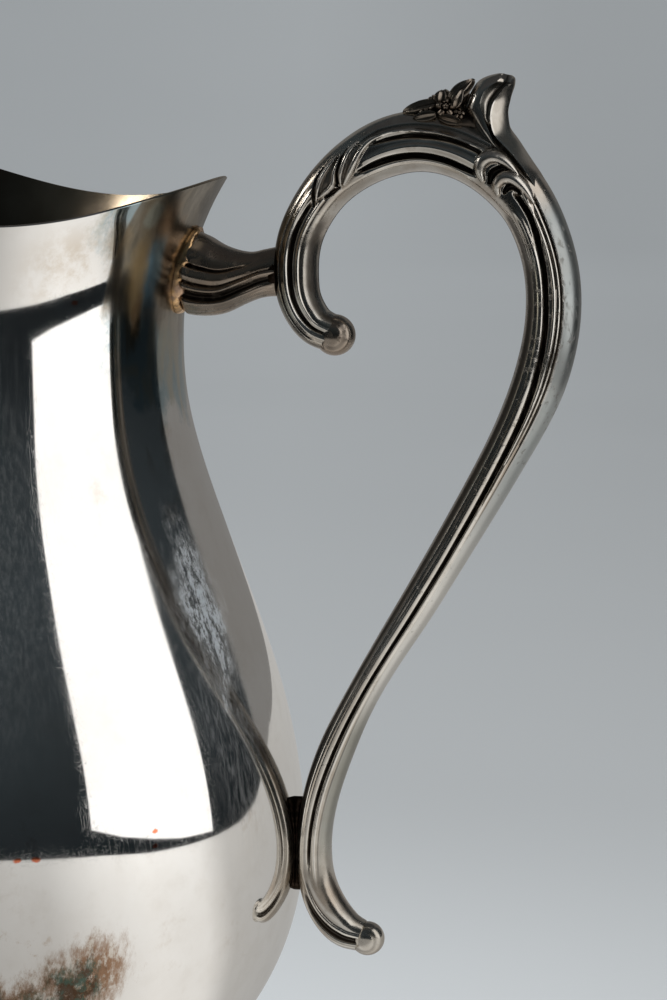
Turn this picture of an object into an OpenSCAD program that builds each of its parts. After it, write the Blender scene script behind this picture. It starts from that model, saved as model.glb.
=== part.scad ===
// Silver water pitcher: spun pear-shaped body with a flared, wavy lip and a
// pulled spout, a low spun foot, and a hollow scroll handle made in two
// halves, held by a fluted arm at the neck and a soldered pad at the belly.
// Millimetres. Origin at the centre of the foot's underside, +Z up,
// handle along +X, spout along -X.

/* [Body] */
// Wall thickness of the spun body
body_wall = 1; // [0.8:0.1:1.4]
// Height of the lip above the table at the handle side
lip_height = 205.7; // [203:0.1:208]
// Radius of the lip at the handle side
lip_radius = 62.8; // [61:0.1:65]
// Height of the spout's tip above the table
spout_height = 222.4; // [217:0.1:226]
// Distance of the spout's tip from the body's axis
spout_reach = 91; // [86:0.5:96]

/* [Foot] */
// Radius of the foot ring where it stands
foot_radius = 48.4; // [47:0.1:50]
// Thickness of the foot ring's spun wall
foot_wall = 1.2; // [1:0.1:1.6]

/* [Handle] */
// Scale of the handle stem's depth, front to back of the stem
stem_depth = 1; // [0.85:0.05:1.1]
// Wall of the hollow handle halves, as a share of the section
hollow_share = 0.66; // [0.5:0.02:0.7]
// Radius of the knob that ends the upper scroll
upper_knob_r = 4.3; // [4.1:0.1:4.6]
// Radius of the knob that ends the lower scroll
lower_knob_r = 3.6; // [3.5:0.1:3.8]

/* [Ornament] */
// Radius of the blossoms on the thumb rest
blossom_r = 1.5; // [1.2:0.1:1.8]

/* [Hidden] */
silver = [0.80, 0.79, 0.76];
dark_silver = [0.45, 0.42, 0.39];
solder = [0.72, 0.60, 0.45];
nseg = 60;

// ---- curves -------------------------------------------------------------

// Catmull-Rom value and slope on a list of vectors, u from 0 to len-1
function at(P, i) = i < 0 ? 2*P[0] - P[1] : i >= len(P) ? 2*P[len(P)-1] - P[len(P)-2] : P[i];
function cr(P, u) = let(i = min(floor(u), len(P) - 2), t = u - i,
    a = at(P, i-1), b = at(P, i), c = at(P, i+1), d = at(P, i+2))
    0.5*(2*b + (c - a)*t + (2*a - 5*b + 4*c - d)*t*t + (3*b - a - 3*c + d)*t*t*t);
function crd(P, u) = let(i = min(floor(u), len(P) - 2), t = u - i,
    a = at(P, i-1), b = at(P, i), c = at(P, i+1), d = at(P, i+2))
    0.5*((c - a) + 2*(2*a - 5*b + 4*c - d)*t + 3*(3*b - a - 3*c + d)*t*t);
function unit2(v) = v / norm(v);

// Skin of a list of rings with the same number of points. Each ring is closed,
// and runs anticlockwise when seen from the end of the sweep.
function skin_faces(n, m) = [for (i = [0:n-2], j = [0:m-1]) let(k = (j+1) % m)
    each [[i*m + j, (i+1)*m + k, i*m + k], [i*m + j, (i+1)*m + j, (i+1)*m + k]]];
function reversed(F) = [for (f = F) [f[0], f[2], f[1]]];

// ---- body ---------------------------------------------------------------

// Outside of the bowl from the centre of the bottom to the neck, [radius, height]
bowl = [[0.01, 7.6], [18, 7.5], [32, 7.2], [39, 8.6], [47, 12.4], [57, 20.2],
        [66, 30], [72.4, 40.5], [76.6, 52.5], [78.3, 65], [77.6, 79.5],
        [75, 94], [70.8, 108.5], [65.8, 122.5], [60.6, 137], [56.6, 149.5],
        [54.2, 160.5], [53.5, 171]];
neck_r = 53.5;
neck_z = 171;

// Lip height and radius against the angle from the handle, every 15 degrees
lip_z = [lip_height, lip_height - 1, lip_height - 3.3, lip_height - 5.9,
         lip_height - 7, lip_height - 5.8, lip_height - 2.4, lip_height + 2.2,
         lip_height + 6.8, lip_height + 10.8, spout_height - 2.8,
         spout_height - 0.8, spout_height];
lip_r = [lip_radius, lip_radius - 0.5, lip_radius - 1.8, lip_radius - 3.2,
         lip_radius - 3.8, lip_radius - 3.4, lip_radius - 1.6,
         lip_radius + 1, lip_radius + 4.6, spout_reach - 18.5,
         spout_reach - 11.5, spout_reach - 3.6, spout_reach];
function fold(a) = abs(a) > 180 ? 360 - abs(a) : abs(a);
function even(P, u) = u > len(P) - 2 ? cr(concat(P, [P[len(P)-2]]), u) : u < 1 ? cr(concat([P[1]], P), u + 1) : cr(P, u);
function rim_z(a) = even(lip_z, fold(a)/15);
function rim_r(a) = even(lip_r, fold(a)/15);
function flare(a) = 2.3 - 0.55*pow(max(0, (fold(a) - 90)/90), 1.5);
function neck_at(a, t) = [neck_r + (rim_r(a) - neck_r)*pow(t, flare(a)), neck_z + (rim_z(a) - neck_z)*t];
function neck_wall(a, t) = let(k = flare(a), s = t < 0.01 ? 0 : (rim_r(a) - neck_r)*k*pow(t, k-1)/(rim_z(a) - neck_z))
    (body_wall - 0.35*t)*sqrt(1 + s*s);

bowl_steps = [for (i = [0:2*(len(bowl)-1)]) i/2];
neck_steps = [0.14, 0.3, 0.45, 0.6, 0.72, 0.83, 0.92, 1];
function ring_at(r, z) = [for (i = [0:nseg-1]) let(a = i*360/nseg) [r*cos(a), r*sin(a), z]];
outer_rings = concat(
    [for (u = bowl_steps) if (u > 0) let(p = cr(bowl, u)) ring_at(p[0], p[1])],
    [for (t = neck_steps) [for (i = [0:nseg-1]) let(a = i*360/nseg, f = a > 180 ? a - 360 : a, p = neck_at(f, t)) [p[0]*cos(a), p[0]*sin(a), p[1]]]]);
inner_rings = concat(
    [for (k = [len(neck_steps)-1:-1:0]) let(t = neck_steps[k]) [for (i = [0:nseg-1]) let(a = i*360/nseg, f = a > 180 ? a - 360 : a,
        p = neck_at(f, t), w = neck_wall(f, t)) [(p[0] - w)*cos(a), (p[0] - w)*sin(a), p[1]]]],
    [for (k = [len(bowl_steps)-1:-1:1]) let(u = bowl_steps[k], p = cr(bowl, u), d = unit2(crd(bowl, u)),
        q = p + body_wall*[-d[1], d[0]]) ring_at(max(q[0], 2), q[1])]);

module body_solid() {
    rings = concat(outer_rings, inner_rings);
    n = len(rings);
    pts = concat([for (r = rings) each r], [[0, 0, bowl[0][1]], [0, 0, bowl[0][1] + body_wall]]);
    faces = concat(
        reversed(skin_faces(n, nseg)),
        [for (j = [0:nseg-1]) [n*nseg, (j+1) % nseg, j]],
        [for (j = [0:nseg-1]) [n*nseg + 1, (n-1)*nseg + j, (n-1)*nseg + (j+1) % nseg]]);
    polyhedron(points = pts, faces = reversed(faces), convexity = 10);
}

module body() { color(silver) body_solid(); }

// ---- foot ---------------------------------------------------------------

// Spun ring with a rolled edge that is dressed flat underneath
module foot_ring() {
    f = foot_radius; w = foot_wall;
    color(silver) rotate_extrude($fn = 96) polygon([
        [f - 5.0, 10.38], [f - 5.2, 9.2], [f - 5.1, 7.6], [f - 4.4, 6.0], [f - 3.1, 4.7], [f - 1.6, 3.9],
        [f - 0.5, 3.3], [f + 0.1, 2.4], [f + 0.15, 1.4], [f - 0.2, 0.55], [f - 0.8, 0],
        [f - 2.6, 0], [f - 3.2, 0.6], [f - 3.5, 1.6], [f - 3.3, 2.9],
        [f - 4.2 - (w - 1.2), 3.7], [f - 5.5 - (w - 1.2), 5.3], [f - 6.3 - (w - 1.2), 7.4], [f - 6.45 - (w - 1.2), 9.65 - (w - 1.2)*0.4]]);
}

// Fillet of solder in the corner between the foot ring and the bowl
module foot_solder() {
    f = foot_radius; w = foot_wall;
    color(solder) rotate_extrude($fn = 96) polygon([
        [f - 6.47 - (w - 1.2), 9.62 - (w - 1.2)*0.4], [f - 6.36 - (w - 1.2), 7.7], [f - 7.2 - (w - 1.2), 8.3 - (w - 1.2)*0.4], [f - 8.6 - (w - 1.2), 8.82 - (w - 1.2)*0.4]]);
}

// ---- handle stem --------------------------------------------------------

// Stations along the stem from the upper knob, over the arch, to the lower
// knob: [x, z, half the width in the handle's plane, half the depth]
stem = [[85.4, 174.7, 3.9, 3.9], [82, 176.4, 4.2, 4.4], [79.2, 181, 4.4, 4.7],
        [78.4, 186, 4.6, 4.9], [78.7, 192, 4.6, 5.0], [80.6, 197.6, 4.6, 5.0],
        [84.8, 204, 4.8, 5.1], [90.5, 209, 5.4, 5.3], [97, 212.4, 6.0, 5.6],
        [104, 213.8, 6.2, 5.9], [111, 212.7, 6.2, 6.0], [117, 209.8, 6.1, 6.0],
        [121.9, 205.9, 6.0, 6.0], [126.2, 200.4, 5.6, 6.0], [129.4, 193, 5.5, 6.0],
        [131, 185, 5.6, 6.0], [130.8, 176, 5.6, 6.0], [128.8, 167, 5.5, 5.8],
        [125.7, 159, 5.1, 5.6], [121.5, 150.6, 4.6, 5.4], [116.2, 141, 4.3, 5.1],
        [109.6, 129.6, 4.0, 4.8], [103, 118.4, 3.8, 4.5], [96.4, 107.8, 3.4, 4.2],
        [91.2, 98.6, 3.3, 4.0], [86.9, 89.4, 3.7, 4.0], [83.9, 80, 3.5, 4.1],
        [82.2, 71, 3.4, 4.3], [82.3, 62.5, 3.6, 4.5], [84.4, 56, 4.1, 4.6],
        [88, 51.4, 4.0, 4.3], [91.8, 49.8, 3.3, 3.4]];

// Half of the stem's section, from the inner edge to the outer edge:
// [across the width, -1 inside the loop to 1 outside; depth 0 to 1]
flute = [[-1, 0], [-0.96, 0.34], [-0.82, 0.62], [-0.70, 0.68], [-0.60, 0.66],
         [-0.42, 0.88], [-0.20, 0.90], [-0.04, 0.78], [0.10, 0.93], [0.28, 0.92],
         [0.50, 0.92], [0.74, 0.74], [0.92, 0.42], [1, 0]];
// The hollow inside each half, as the same number of points
hollow = [for (k = [0:len(flute)-1]) let(a = 180 - 180*k/(len(flute)-1)) [cos(a)*hollow_share*1.02, sin(a)*hollow_share*0.86]];

function stem_point(u, q, side) = let(c = cr(stem, u), d = unit2([crd(stem, u)[0], crd(stem, u)[1]]))
    [c[0] - d[1]*c[2]*q[0], side*c[3]*stem_depth*q[1], c[1] + d[0]*c[2]*q[0]];
stem_u = [for (i = [0:2*(len(stem)-1)]) i/2];

module stem_half(side) {
    m = 2*len(flute); n = len(stem_u); h = len(flute);
    section = concat(flute, [for (k = [h-1:-1:0]) hollow[k]]);
    pts = [for (u = stem_u) each [for (q = section) stem_point(u, q, side)]];
    cap = [for (j = [0:h-2]) each [[j, j+1, m-2-j], [j, m-2-j, m-1-j]]];
    far = [for (f = cap) [f[0] + (n-1)*m, f[2] + (n-1)*m, f[1] + (n-1)*m]];
    faces = concat(skin_faces(n, m), cap, far);
    polyhedron(points = pts, faces = side > 0 ? faces : reversed(faces), convexity = 10);
}

module handle_near_half() { color(silver) stem_half(-1); }
module handle_far_half() { color(silver) stem_half(1); }

// The stem as one plain solid between two stations, to trim what sits on it
module stem_solid(u0, u1, grow = 0) {
    us = [for (i = [0:2*(u1-u0)]) u0 + i/2];
    h = len(flute);
    section = concat(flute, [for (k = [h-2:-1:1]) [flute[k][0], -flute[k][1]]]);
    m = len(section); n = len(us);
    pts = concat([for (u = us) each [for (q = section) let(c = cr(stem, u), d = unit2([crd(stem, u)[0], crd(stem, u)[1]]),
                     a = c[2] + grow, b = c[3]*stem_depth + grow)
                     [c[0] - d[1]*a*q[0], b*q[1], c[1] + d[0]*a*q[0]]]],
                 [let(c = cr(stem, u0)) [c[0], 0, c[1]], let(c = cr(stem, u1)) [c[0], 0, c[1]]]);
    faces = concat(skin_faces(n, m), [for (j = [0:m-1]) [n*m, j, (j+1) % m]],
                   [for (j = [0:m-1]) [n*m + 1, (n-1)*m + (j+1) % m, (n-1)*m + j]]);
    polyhedron(points = pts, faces = faces, convexity = 10);
}

// Ball that ends a scroll, flat where it meets the stem. The ball's centre
// lies past the stem's last station by "out", which is negative at the start.
module knob(u, out, r) {
    c = cr(stem, u); d = unit2([crd(stem, u)[0], crd(stem, u)[1]])*sign(out);
    e = abs(out); t = acos(-e/r); n = 14;
    translate([c[0], 0, c[1]]) rotate([0, 90 - atan2(d[1], d[0]), 0])
        rotate_extrude($fn = 64) polygon(concat([[0, 0]],
            [for (k = [0:n]) let(g = t*(1 - k/n)) [r*sin(g), e + r*cos(g)]]));
}
module upper_knob() { color(silver) knob(0, -0.9, upper_knob_r); }
module lower_knob() { color(silver) knob(len(stem)-1, 1.4, lower_knob_r); }

// ---- arm at the neck ----------------------------------------------------

// Loft along +X with lobed sections: [x, centre z, half height, half depth]
arm = [[57.4, 187.0, 8.9, 7.2], [60, 186.0, 8.3, 6.8], [64, 185.2, 6.8, 5.9],
       [68.5, 185.7, 5.2, 4.8], [72, 186.6, 4.9, 4.2], [76, 187.2, 5.2, 3.8]];
arm_n = 32;
function lobe(a) = 1 - 0.045*(1 + cos(6*a));
function arm_ring(c) = [for (j = [0:arm_n-1]) let(a = 360*j/arm_n) [c[0], c[3]*lobe(a)*cos(a), c[1] + c[2]*lobe(a)*sin(a)]];
module loft(rings) {
    m = len(rings[0]); n = len(rings);
    mid = function(r) [for (k = [0:2]) let(v = [for (p = r) p[k]]) v*[for (p = r) 1]/len(r)];
    pts = concat([for (r = rings) each r], [mid(rings[0]), mid(rings[n-1])]);
    faces = concat(reversed(skin_faces(n, m)), [for (j = [0:m-1]) [n*m, (j+1) % m, j]],
                   [for (j = [0:m-1]) [n*m + 1, (n-1)*m + j, (n-1)*m + (j+1) % m]]);
    polyhedron(points = pts, faces = reversed(faces), convexity = 10);
}

module arm_raw() { loft([for (i = [0:2*(len(arm)-1)]) arm_ring(cr(arm, i/2))]); }
module upper_arm() {
    color(dark_silver) resize([0, 0, 0]) difference() { arm_raw(); stem_solid(2, 6, 0.02); }
}

// Bead between the neck and the arm: one side follows the neck
function neck_x(y, z) = let(t = (z - neck_z)/(lip_height - neck_z), r = neck_r + (lip_radius - neck_r)*pow(max(t, 0), 2.3)) sqrt(r*r - y*y);
function collar_ring(c, s, k) = [for (j = [0:arm_n-1]) let(a = 360*j/arm_n, y = c[3]*k*cos(a), z = c[1] + c[2]*k*sin(a)) [s < 0 ? neck_x(y, z) + 0.06 : c[0], y, z]];
module neck_collar() {
    c = arm[0];
    e = [c[0] - 0.05, c[1], c[2], c[3]];
    color(solder) loft([for (k = [0.34, 0.67, 0.97]) each [collar_ring(e, -1, k)]]);
}
module neck_collar_full() {
    c = arm[0];
    e = [c[0] - 0.04, c[1], c[2], c[3]];
    wide = [c[0] - 0.7, c[1], c[2], c[3]];
    rings = concat([for (k = [0.3, 0.62, 0.9, 1.04]) collar_ring(e, -1, k)],
                   [[for (j = [0:arm_n-1]) let(a = 360*j/arm_n, y = c[3]*1.09*cos(a), z = c[1] + c[2]*1.05*sin(a), x = neck_x(y, z)) [max(x + 0.3, (x + c[0])/2), y, z]]],
                   [collar_ring(e, 1, 1.0), collar_ring(e, 1, 0.5)]);
    color(solder) loft(rings);
}

// Thin line of solder round the joint of arm and scroll
module arm_solder() {
    c = cr(arm, 4.3);
    color(solder) resize([0, 0, 0]) difference() {
        loft([for (k = [[-1.6, 1.0], [-0.6, 1.05], [0.6, 1.16], [2.4, 1.3]]) let(p = cr(arm, 4.2 + k[0]*0.2)) [for (j = [0:arm_n-1]) let(a = 360*j/arm_n) [p[0] + 0.4, p[3]*k[1]*lobe(a)*cos(a), p[1] + p[2]*k[1]*lobe(a)*sin(a)]]]);
        stem_solid(2, 6, 0.02);
        loft([for (i = [0:2*(len(arm)-1)]) let(p = cr(arm, i/2)) arm_ring([p[0], p[1], p[2] + 0.02, p[3] + 0.02])]);
    }
}

// ---- thumb rest and ornament -------------------------------------------

// Leaf that rises from the top of the stem: [x, z, half width, half depth], tip last
leaf = [[118.8, 207.6, 5.0, 3.0], [118.6, 212.6, 5.4, 4.0], [118.2, 216.6, 4.8, 4.6],
        [117.6, 220.0, 4.6, 4.5], [118.0, 222.9, 4.3, 4.1], [119.3, 225.2, 3.5, 3.2],
        [120.7, 226.8, 1.8, 1.8]];
leaf_n = 24;
function leaf_ring(u) = let(c = cr(leaf, u), d = unit2([crd(leaf, u)[0], crd(leaf, u)[1]]))
    [for (j = [0:leaf_n-1]) let(a = 360*j/leaf_n, k = 1 - 0.12*pow(sin(a)*sin(a), 2), w = c[2]*k*cos(a), y = c[3]*k*sin(a))
        [c[0] + d[1]*w, y, c[1] - d[0]*w]];
module thumb_leaf() {
    color(silver) resize([0, 0, 0]) difference() {
        loft([for (i = [0:2*(len(leaf)-1)]) leaf_ring(i/2)]);
        stem_solid(8, 15, 0.02);
    }
}

module blossom(r) {
    sphere(r*0.55, $fn = 8);
    for (k = [0:4]) rotate([0, 0, 72*k]) translate([r*0.62, 0, -0.15*r]) sphere(r*0.48, $fn = 8);
}
module blade(len, w, h) {
    hull() { sphere(h, $fn = 8); translate([len*0.5, 0, 0.2]) sphere(w*0.5, $fn = 8); translate([len, 0, 0]) sphere(h*0.6, $fn = 8); }
}
module flower_spray() {
    color(dark_silver) resize([0, 0, 0]) difference() {
        union() {
            translate([108.4, 0, 221.6]) rotate([0, 10, 0]) blossom(blossom_r*1.3);
            for (s = [-1, 1]) {
                translate([105.2, s*2.7, 220.5]) rotate([-s*34, 0, 0]) blossom(blossom_r);
                translate([109, s*3.5, 220.6]) rotate([-s*40, 10, 0]) blossom(blossom_r*1.1);
                translate([104.6, s*1.2, 220.4]) rotate([0, 2, 180 - s*10]) blade(4.0, 1.7, 0.8);
                translate([109.6, s*1.4, 221.6]) rotate([0, -38, s*8]) blade(5.4, 2.0, 0.9);
            }
            translate([103, -2.6, 217.4]) cube([9.4, 5.2, 4.0]);
        }
        stem_solid(6, 14, 0.02);
        loft([for (i = [0:2*(len(leaf)-1)]) leaf_ring(i/2)]);
    }
}

// ---- pad at the belly ---------------------------------------------------

module belly_solder() {
    color(solder) resize([0, 0, 0]) difference() {
        hull() for (p = [[79.6, 60.6, 1.0], [79.2, 66, 2.1], [79.3, 72, 2.1], [80.2, 77.6, 1.0]])
            translate([p[0] - 1.6, 0, p[1]]) rotate([0, 90, 0]) cylinder(h = 2.4, r = p[2], $fn = 20);
        body_solid();
        stem_solid(25, 30, 0.02);
    }
}

body();
foot_ring();
foot_solder();
neck_collar_full();  // neck_collar
upper_arm();
arm_solder();
handle_near_half();
handle_far_half();
upper_knob();
lower_knob();
thumb_leaf();
flower_spray();
belly_solder();
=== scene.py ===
import math
import bpy
import numpy as np
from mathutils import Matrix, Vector


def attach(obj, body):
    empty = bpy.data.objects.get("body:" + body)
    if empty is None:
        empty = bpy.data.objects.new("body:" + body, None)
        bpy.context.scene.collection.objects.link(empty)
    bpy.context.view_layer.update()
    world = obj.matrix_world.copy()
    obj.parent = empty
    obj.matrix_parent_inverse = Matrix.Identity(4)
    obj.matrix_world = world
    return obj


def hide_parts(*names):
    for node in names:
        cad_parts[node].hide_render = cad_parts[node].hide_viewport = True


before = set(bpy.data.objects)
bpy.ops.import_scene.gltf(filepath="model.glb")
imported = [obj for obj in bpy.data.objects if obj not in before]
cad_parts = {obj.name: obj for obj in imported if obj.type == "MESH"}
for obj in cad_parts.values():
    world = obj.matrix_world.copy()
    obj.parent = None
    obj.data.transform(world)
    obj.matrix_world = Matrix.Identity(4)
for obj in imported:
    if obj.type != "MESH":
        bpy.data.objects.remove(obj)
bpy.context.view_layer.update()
MM = 0.001
rng = np.random.default_rng(7)

# ------------------------------------------------------------------ helpers


def mesh_object(name, V, F, attrs=None, sharp=None, smooth=True):
    """A mesh from points in millimetres and faces, with float attributes per point."""
    me = bpy.data.meshes.new(name)
    me.from_pydata((np.asarray(V, float) * MM).tolist(), [], [list(map(int, f)) for f in F])
    me.validate()
    if smooth:
        me.shade_smooth()
        if sharp:
            me.set_sharp_from_angle(angle=math.radians(sharp))
    for k, v in (attrs or {}).items():
        a = me.attributes.new(k, "FLOAT", "POINT")
        a.data.foreach_set("value", np.asarray(v, np.float32))
    me.update()
    ob = bpy.data.objects.new(name, me)
    bpy.context.scene.collection.objects.link(ob)
    return ob


def grid_quads(n, m, close=True, base=0, flip=False):
    i, j = np.meshgrid(np.arange(n - 1), np.arange(m if close else m - 1), indexing="ij")
    k = (j + 1) % m
    q = np.stack([i * m + j, i * m + k, (i + 1) * m + k, (i + 1) * m + j], -1).reshape(-1, 4) + base
    return (q[:, ::-1] if flip else q).tolist()


def fan(centre, ring, flip=False):
    n = len(ring)
    return [[centre, ring[(j + 1) % n], ring[j]] if flip else [centre, ring[j], ring[(j + 1) % n]] for j in range(n)]


def smooth(x):
    x = np.clip(x, 0, 1)
    return x * x * (3 - 2 * x)


def bump(q, c, w):
    """1 at c, falling smoothly to 0 at c-w and c+w."""
    t = np.clip(1 - np.abs(q - c) / w, 0, 1)
    return t * t * (3 - 2 * t)


def catmull(P, u):
    P = np.asarray(P, float)
    P = np.vstack([2 * P[0] - P[1], P, 2 * P[-1] - P[-2]])
    i = np.minimum(np.floor(u).astype(int), len(P) - 4)
    t = (u - i)[:, None]
    a, b, c, d = P[i], P[i + 1], P[i + 2], P[i + 3]
    return 0.5 * (2 * b + (c - a) * t + (2 * a - 5 * b + 4 * c - d) * t * t + (3 * b - a - 3 * c + d) * t ** 3)


def natural(x, Y, xs):
    """Natural cubic spline through (x, Y), with continuous curvature."""
    x = np.asarray(x, float)
    Y = np.asarray(Y, float)
    n = len(x)
    h = np.diff(x)
    A = np.zeros((n, n))
    B = np.zeros(Y.shape)
    A[0, 0] = A[-1, -1] = 1
    for i in range(1, n - 1):
        A[i, i - 1], A[i, i], A[i, i + 1] = h[i - 1], 2 * (h[i - 1] + h[i]), h[i]
        B[i] = 3 * ((Y[i + 1] - Y[i]) / h[i] - (Y[i] - Y[i - 1]) / h[i - 1])
    c = np.linalg.solve(A, B)
    k = np.clip(np.searchsorted(x, xs) - 1, 0, n - 2)
    d = (xs - x[k])[:, None]
    hk = h[k][:, None]
    b = (Y[k + 1] - Y[k]) / hk - hk * (2 * c[k] + c[k + 1]) / 3
    return Y[k] + b * d + c[k] * d ** 2 + (c[k + 1] - c[k]) / (3 * hk) * d ** 3


def spline_through(P, n):
    P = np.asarray(P, float)
    s = np.r_[0, np.cumsum(np.linalg.norm(np.diff(P, axis=0), axis=1))]
    return natural(s, P, np.linspace(0, s[-1], n))


def piece(ob, slot, *nodes):
    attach(ob, "root")
    if nodes:
        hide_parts(*nodes)
    return ob


# ------------------------------------------------------------------- body

WALL = 1.0
LH, LR, SH, SR = 205.7, 62.8, 222.4, 91.0
BOWL = [[18, 7.5], [32, 7.2], [39, 8.6], [47, 12.4], [57, 20.2], [66, 30], [72.4, 40.5], [76.6, 52.5],
        [78.3, 65], [77.6, 79.5], [75, 94], [70.8, 108.5], [65.8, 122.5], [60.6, 137], [56.6, 149.5],
        [54.2, 160.5], [53.5, 171]]
LIP_Z = [LH, LH - 1, LH - 3.3, LH - 5.9, LH - 7, LH - 5.8, LH - 2.4, LH + 2.2, LH + 6.8, LH + 10.8, SH - 2.8, SH - 0.8, SH]
LIP_R = [LR, LR - 0.5, LR - 1.8, LR - 3.2, LR - 3.8, LR - 3.4, LR - 1.6, LR + 1, LR + 4.6, SR - 18.5, SR - 11.5, SR - 3.6, SR]


def around(P, deg):
    """Even, smooth interpolation of a table given every 15 degrees from the handle to the spout."""
    Q = [P[2], P[1]] + list(P) + [P[-2], P[-3]]
    return natural(np.arange(len(Q)), np.array(Q)[:, None], np.abs(deg) / 15 + 2)[:, 0]


def flare(deg):
    return 2.3 - 0.55 * np.maximum(0, (np.abs(deg) - 90) / 90) ** 1.5


def build_body():
    seg = 320
    deg = np.arange(seg) * 360 / seg
    fold = np.where(deg > 180, 360 - deg, deg)
    rim_z, rim_r, fl = around(LIP_Z, fold), around(LIP_R, fold), flare(fold)
    n_out, rings_out, rings_in = 300, [], []
    tt = [0.22, 0.42, 0.6, 0.76, 0.9, 1.0]
    cols_o, cols_i = [], []
    for a, rz, rr, f in zip(deg, rim_z, rim_r, fl):
        P = np.array(BOWL + [[53.5 + (rr - 53.5) * t ** f, 171 + (rz - 171) * t] for t in tt])
        s = np.r_[0, np.cumsum(np.linalg.norm(np.diff(P, axis=0), axis=1))]
        k = np.linspace(0, 1, n_out)
        k = k - 0.04 * np.sin(2 * np.pi * k)
        C = natural(s, P, k * s[-1])
        D = np.gradient(C, axis=0)
        N = np.stack([-D[:, 1], D[:, 0]], 1) / np.linalg.norm(D, axis=1)[:, None]
        w = np.full(n_out, WALL)
        w[-40:] -= 0.32 * smooth(np.linspace(0, 1, 40))
        I = C + N * w[:, None]
        cols_o.append(C)
        cols_i.append(I)
    O, I = np.array(cols_o), np.array(cols_i)          # seg, n, 2
    # a dressed, slightly rounded lip between the outside and the inside
    e0, e1 = O[:, -1], I[:, -1]
    up = O[:, -1] - O[:, -2]
    up /= np.linalg.norm(up, axis=1)[:, None]
    lip = [e0 * (1 - f) + e1 * f + up * 0.16 * math.sin(math.pi * f) for f in (0.2, 0.5, 0.8)]
    prof = np.concatenate([O, np.stack(lip, 1), I[:, ::-1]], 1)     # seg, rows, 2
    ca, sa = np.cos(np.radians(deg)), np.sin(np.radians(deg))
    # the hand-planished wall is never a perfect circle
    zz = prof[..., 1]
    wob = 0.10 * np.sin(2 * np.radians(deg) + 0.7)[:, None] * np.sin(zz / 46) + 0.05 * np.sin(5 * np.radians(deg))[:, None] * np.sin(zz / 19 + 1)
    wob = wob * smooth((zz - 20) / 30) * smooth((200 - zz) / 30)
    R = prof[..., 0] + wob
    V = np.stack([R * ca[:, None], R * sa[:, None], zz], -1).transpose(1, 0, 2)
    n = V.shape[0]
    pts = V.reshape(-1, 3)
    c0, c1 = len(pts), len(pts) + 1
    pts = np.vstack([pts, [[0, 0, 7.7], [0, 0, 7.7 + WALL]]])
    F = grid_quads(n, seg)
    F += fan(c0, list(range(seg)), flip=True) + fan(c1, [(n - 1) * seg + j for j in range(seg)])
    inside = np.zeros(len(pts))
    inside[(n_out + 1) * seg:c0] = 1
    inside[c1] = 1
    return mesh_object("pitcher_body", pts, F, {"inside": inside}, sharp=50)


body = piece(build_body(), "body_silver", "body")

# -------------------------------------------------------------------- foot


def revolve(name, prof, seg=288, closed=True, wobble=0.0, attrs=None, sharp=50):
    prof = np.asarray(prof, float)
    m = len(prof)
    ang = np.arange(seg) * 2 * np.pi / seg
    V = np.stack([np.outer(np.cos(ang), prof[:, 0]), np.outer(np.sin(ang), prof[:, 0]), np.tile(prof[:, 1], (seg, 1))], -1)
    if wobble:
        V[..., 0:2] *= 1 + wobble / 45 * np.sin(3 * ang + 1)[:, None, None]
    i, j = np.meshgrid(np.arange(seg), np.arange(m), indexing="ij")
    F = np.stack([i * m + j, ((i + 1) % seg) * m + j, ((i + 1) % seg) * m + (j + 1) % m, i * m + (j + 1) % m], -1).reshape(-1, 4).tolist()
    return mesh_object(name, V.reshape(-1, 3), F, attrs, sharp=sharp)


def foot_profile():
    f = 48.4
    outer = spline_through([[f - 5.0, 10.36], [f - 5.2, 9.2], [f - 5.1, 7.6], [f - 4.4, 6.0], [f - 3.1, 4.7], [f - 1.7, 4.05]], 26)
    roll = spline_through([[f - 1.7, 4.05], [f - 1.15, 3.95], [f - 0.45, 3.3], [f + 0.05, 2.4], [f + 0.12, 1.4], [f - 0.2, 0.5], [f - 0.8, 0.02]], 26)[1:]
    flat = [[f - 1.4, 0.0], [f - 2.0, 0.0]]
    back = spline_through([[f - 2.6, 0.02], [f - 3.2, 0.6], [f - 3.5, 1.6], [f - 3.3, 2.7]], 14)
    inner = spline_through([[f - 3.35, 2.95], [f - 4.2, 3.7], [f - 5.5, 5.3], [f - 6.3, 7.4], [f - 6.45, 9.6]], 22)
    return np.vstack([outer, roll, flat, back, inner])[::-1]


foot = piece(revolve("foot_ring_turned", foot_profile()), "body_silver", "foot_ring")


def build_foot_solder():
    seg = 240
    ang = np.arange(seg) * 2 * np.pi / seg
    base = spline_through([[41.93, 9.6], [42.02, 8.6], [41.9, 7.9], [41.3, 8.05], [40.6, 8.4], [39.8, 8.8]], 16)
    V = []
    for a in ang:
        k = 1 + 0.16 * math.sin(9 * a + 1) + 0.12 * math.sin(23 * a) + 0.08 * math.sin(41 * a + 2)
        mid = np.array([41.9, 9.5])
        P = mid + (base - mid) * np.array([k if k < 1.05 else 1.05, min(k, 1.0)])
        V.append(np.stack([P[:, 0] * math.cos(a), P[:, 0] * math.sin(a), P[:, 1]], 1))
    V = np.array(V)
    m = V.shape[1]
    i, j = np.meshgrid(np.arange(seg), np.arange(m), indexing="ij")
    F = np.stack([i * m + j, ((i + 1) % seg) * m + j, ((i + 1) % seg) * m + (j + 1) % m, i * m + (j + 1) % m], -1).reshape(-1, 4).tolist()
    return mesh_object("foot_solder_fillet", V.reshape(-1, 3), F, sharp=60)


foot_solder = piece(build_foot_solder(), "solder", "foot_solder")

# ------------------------------------------------------------------- stem

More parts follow.
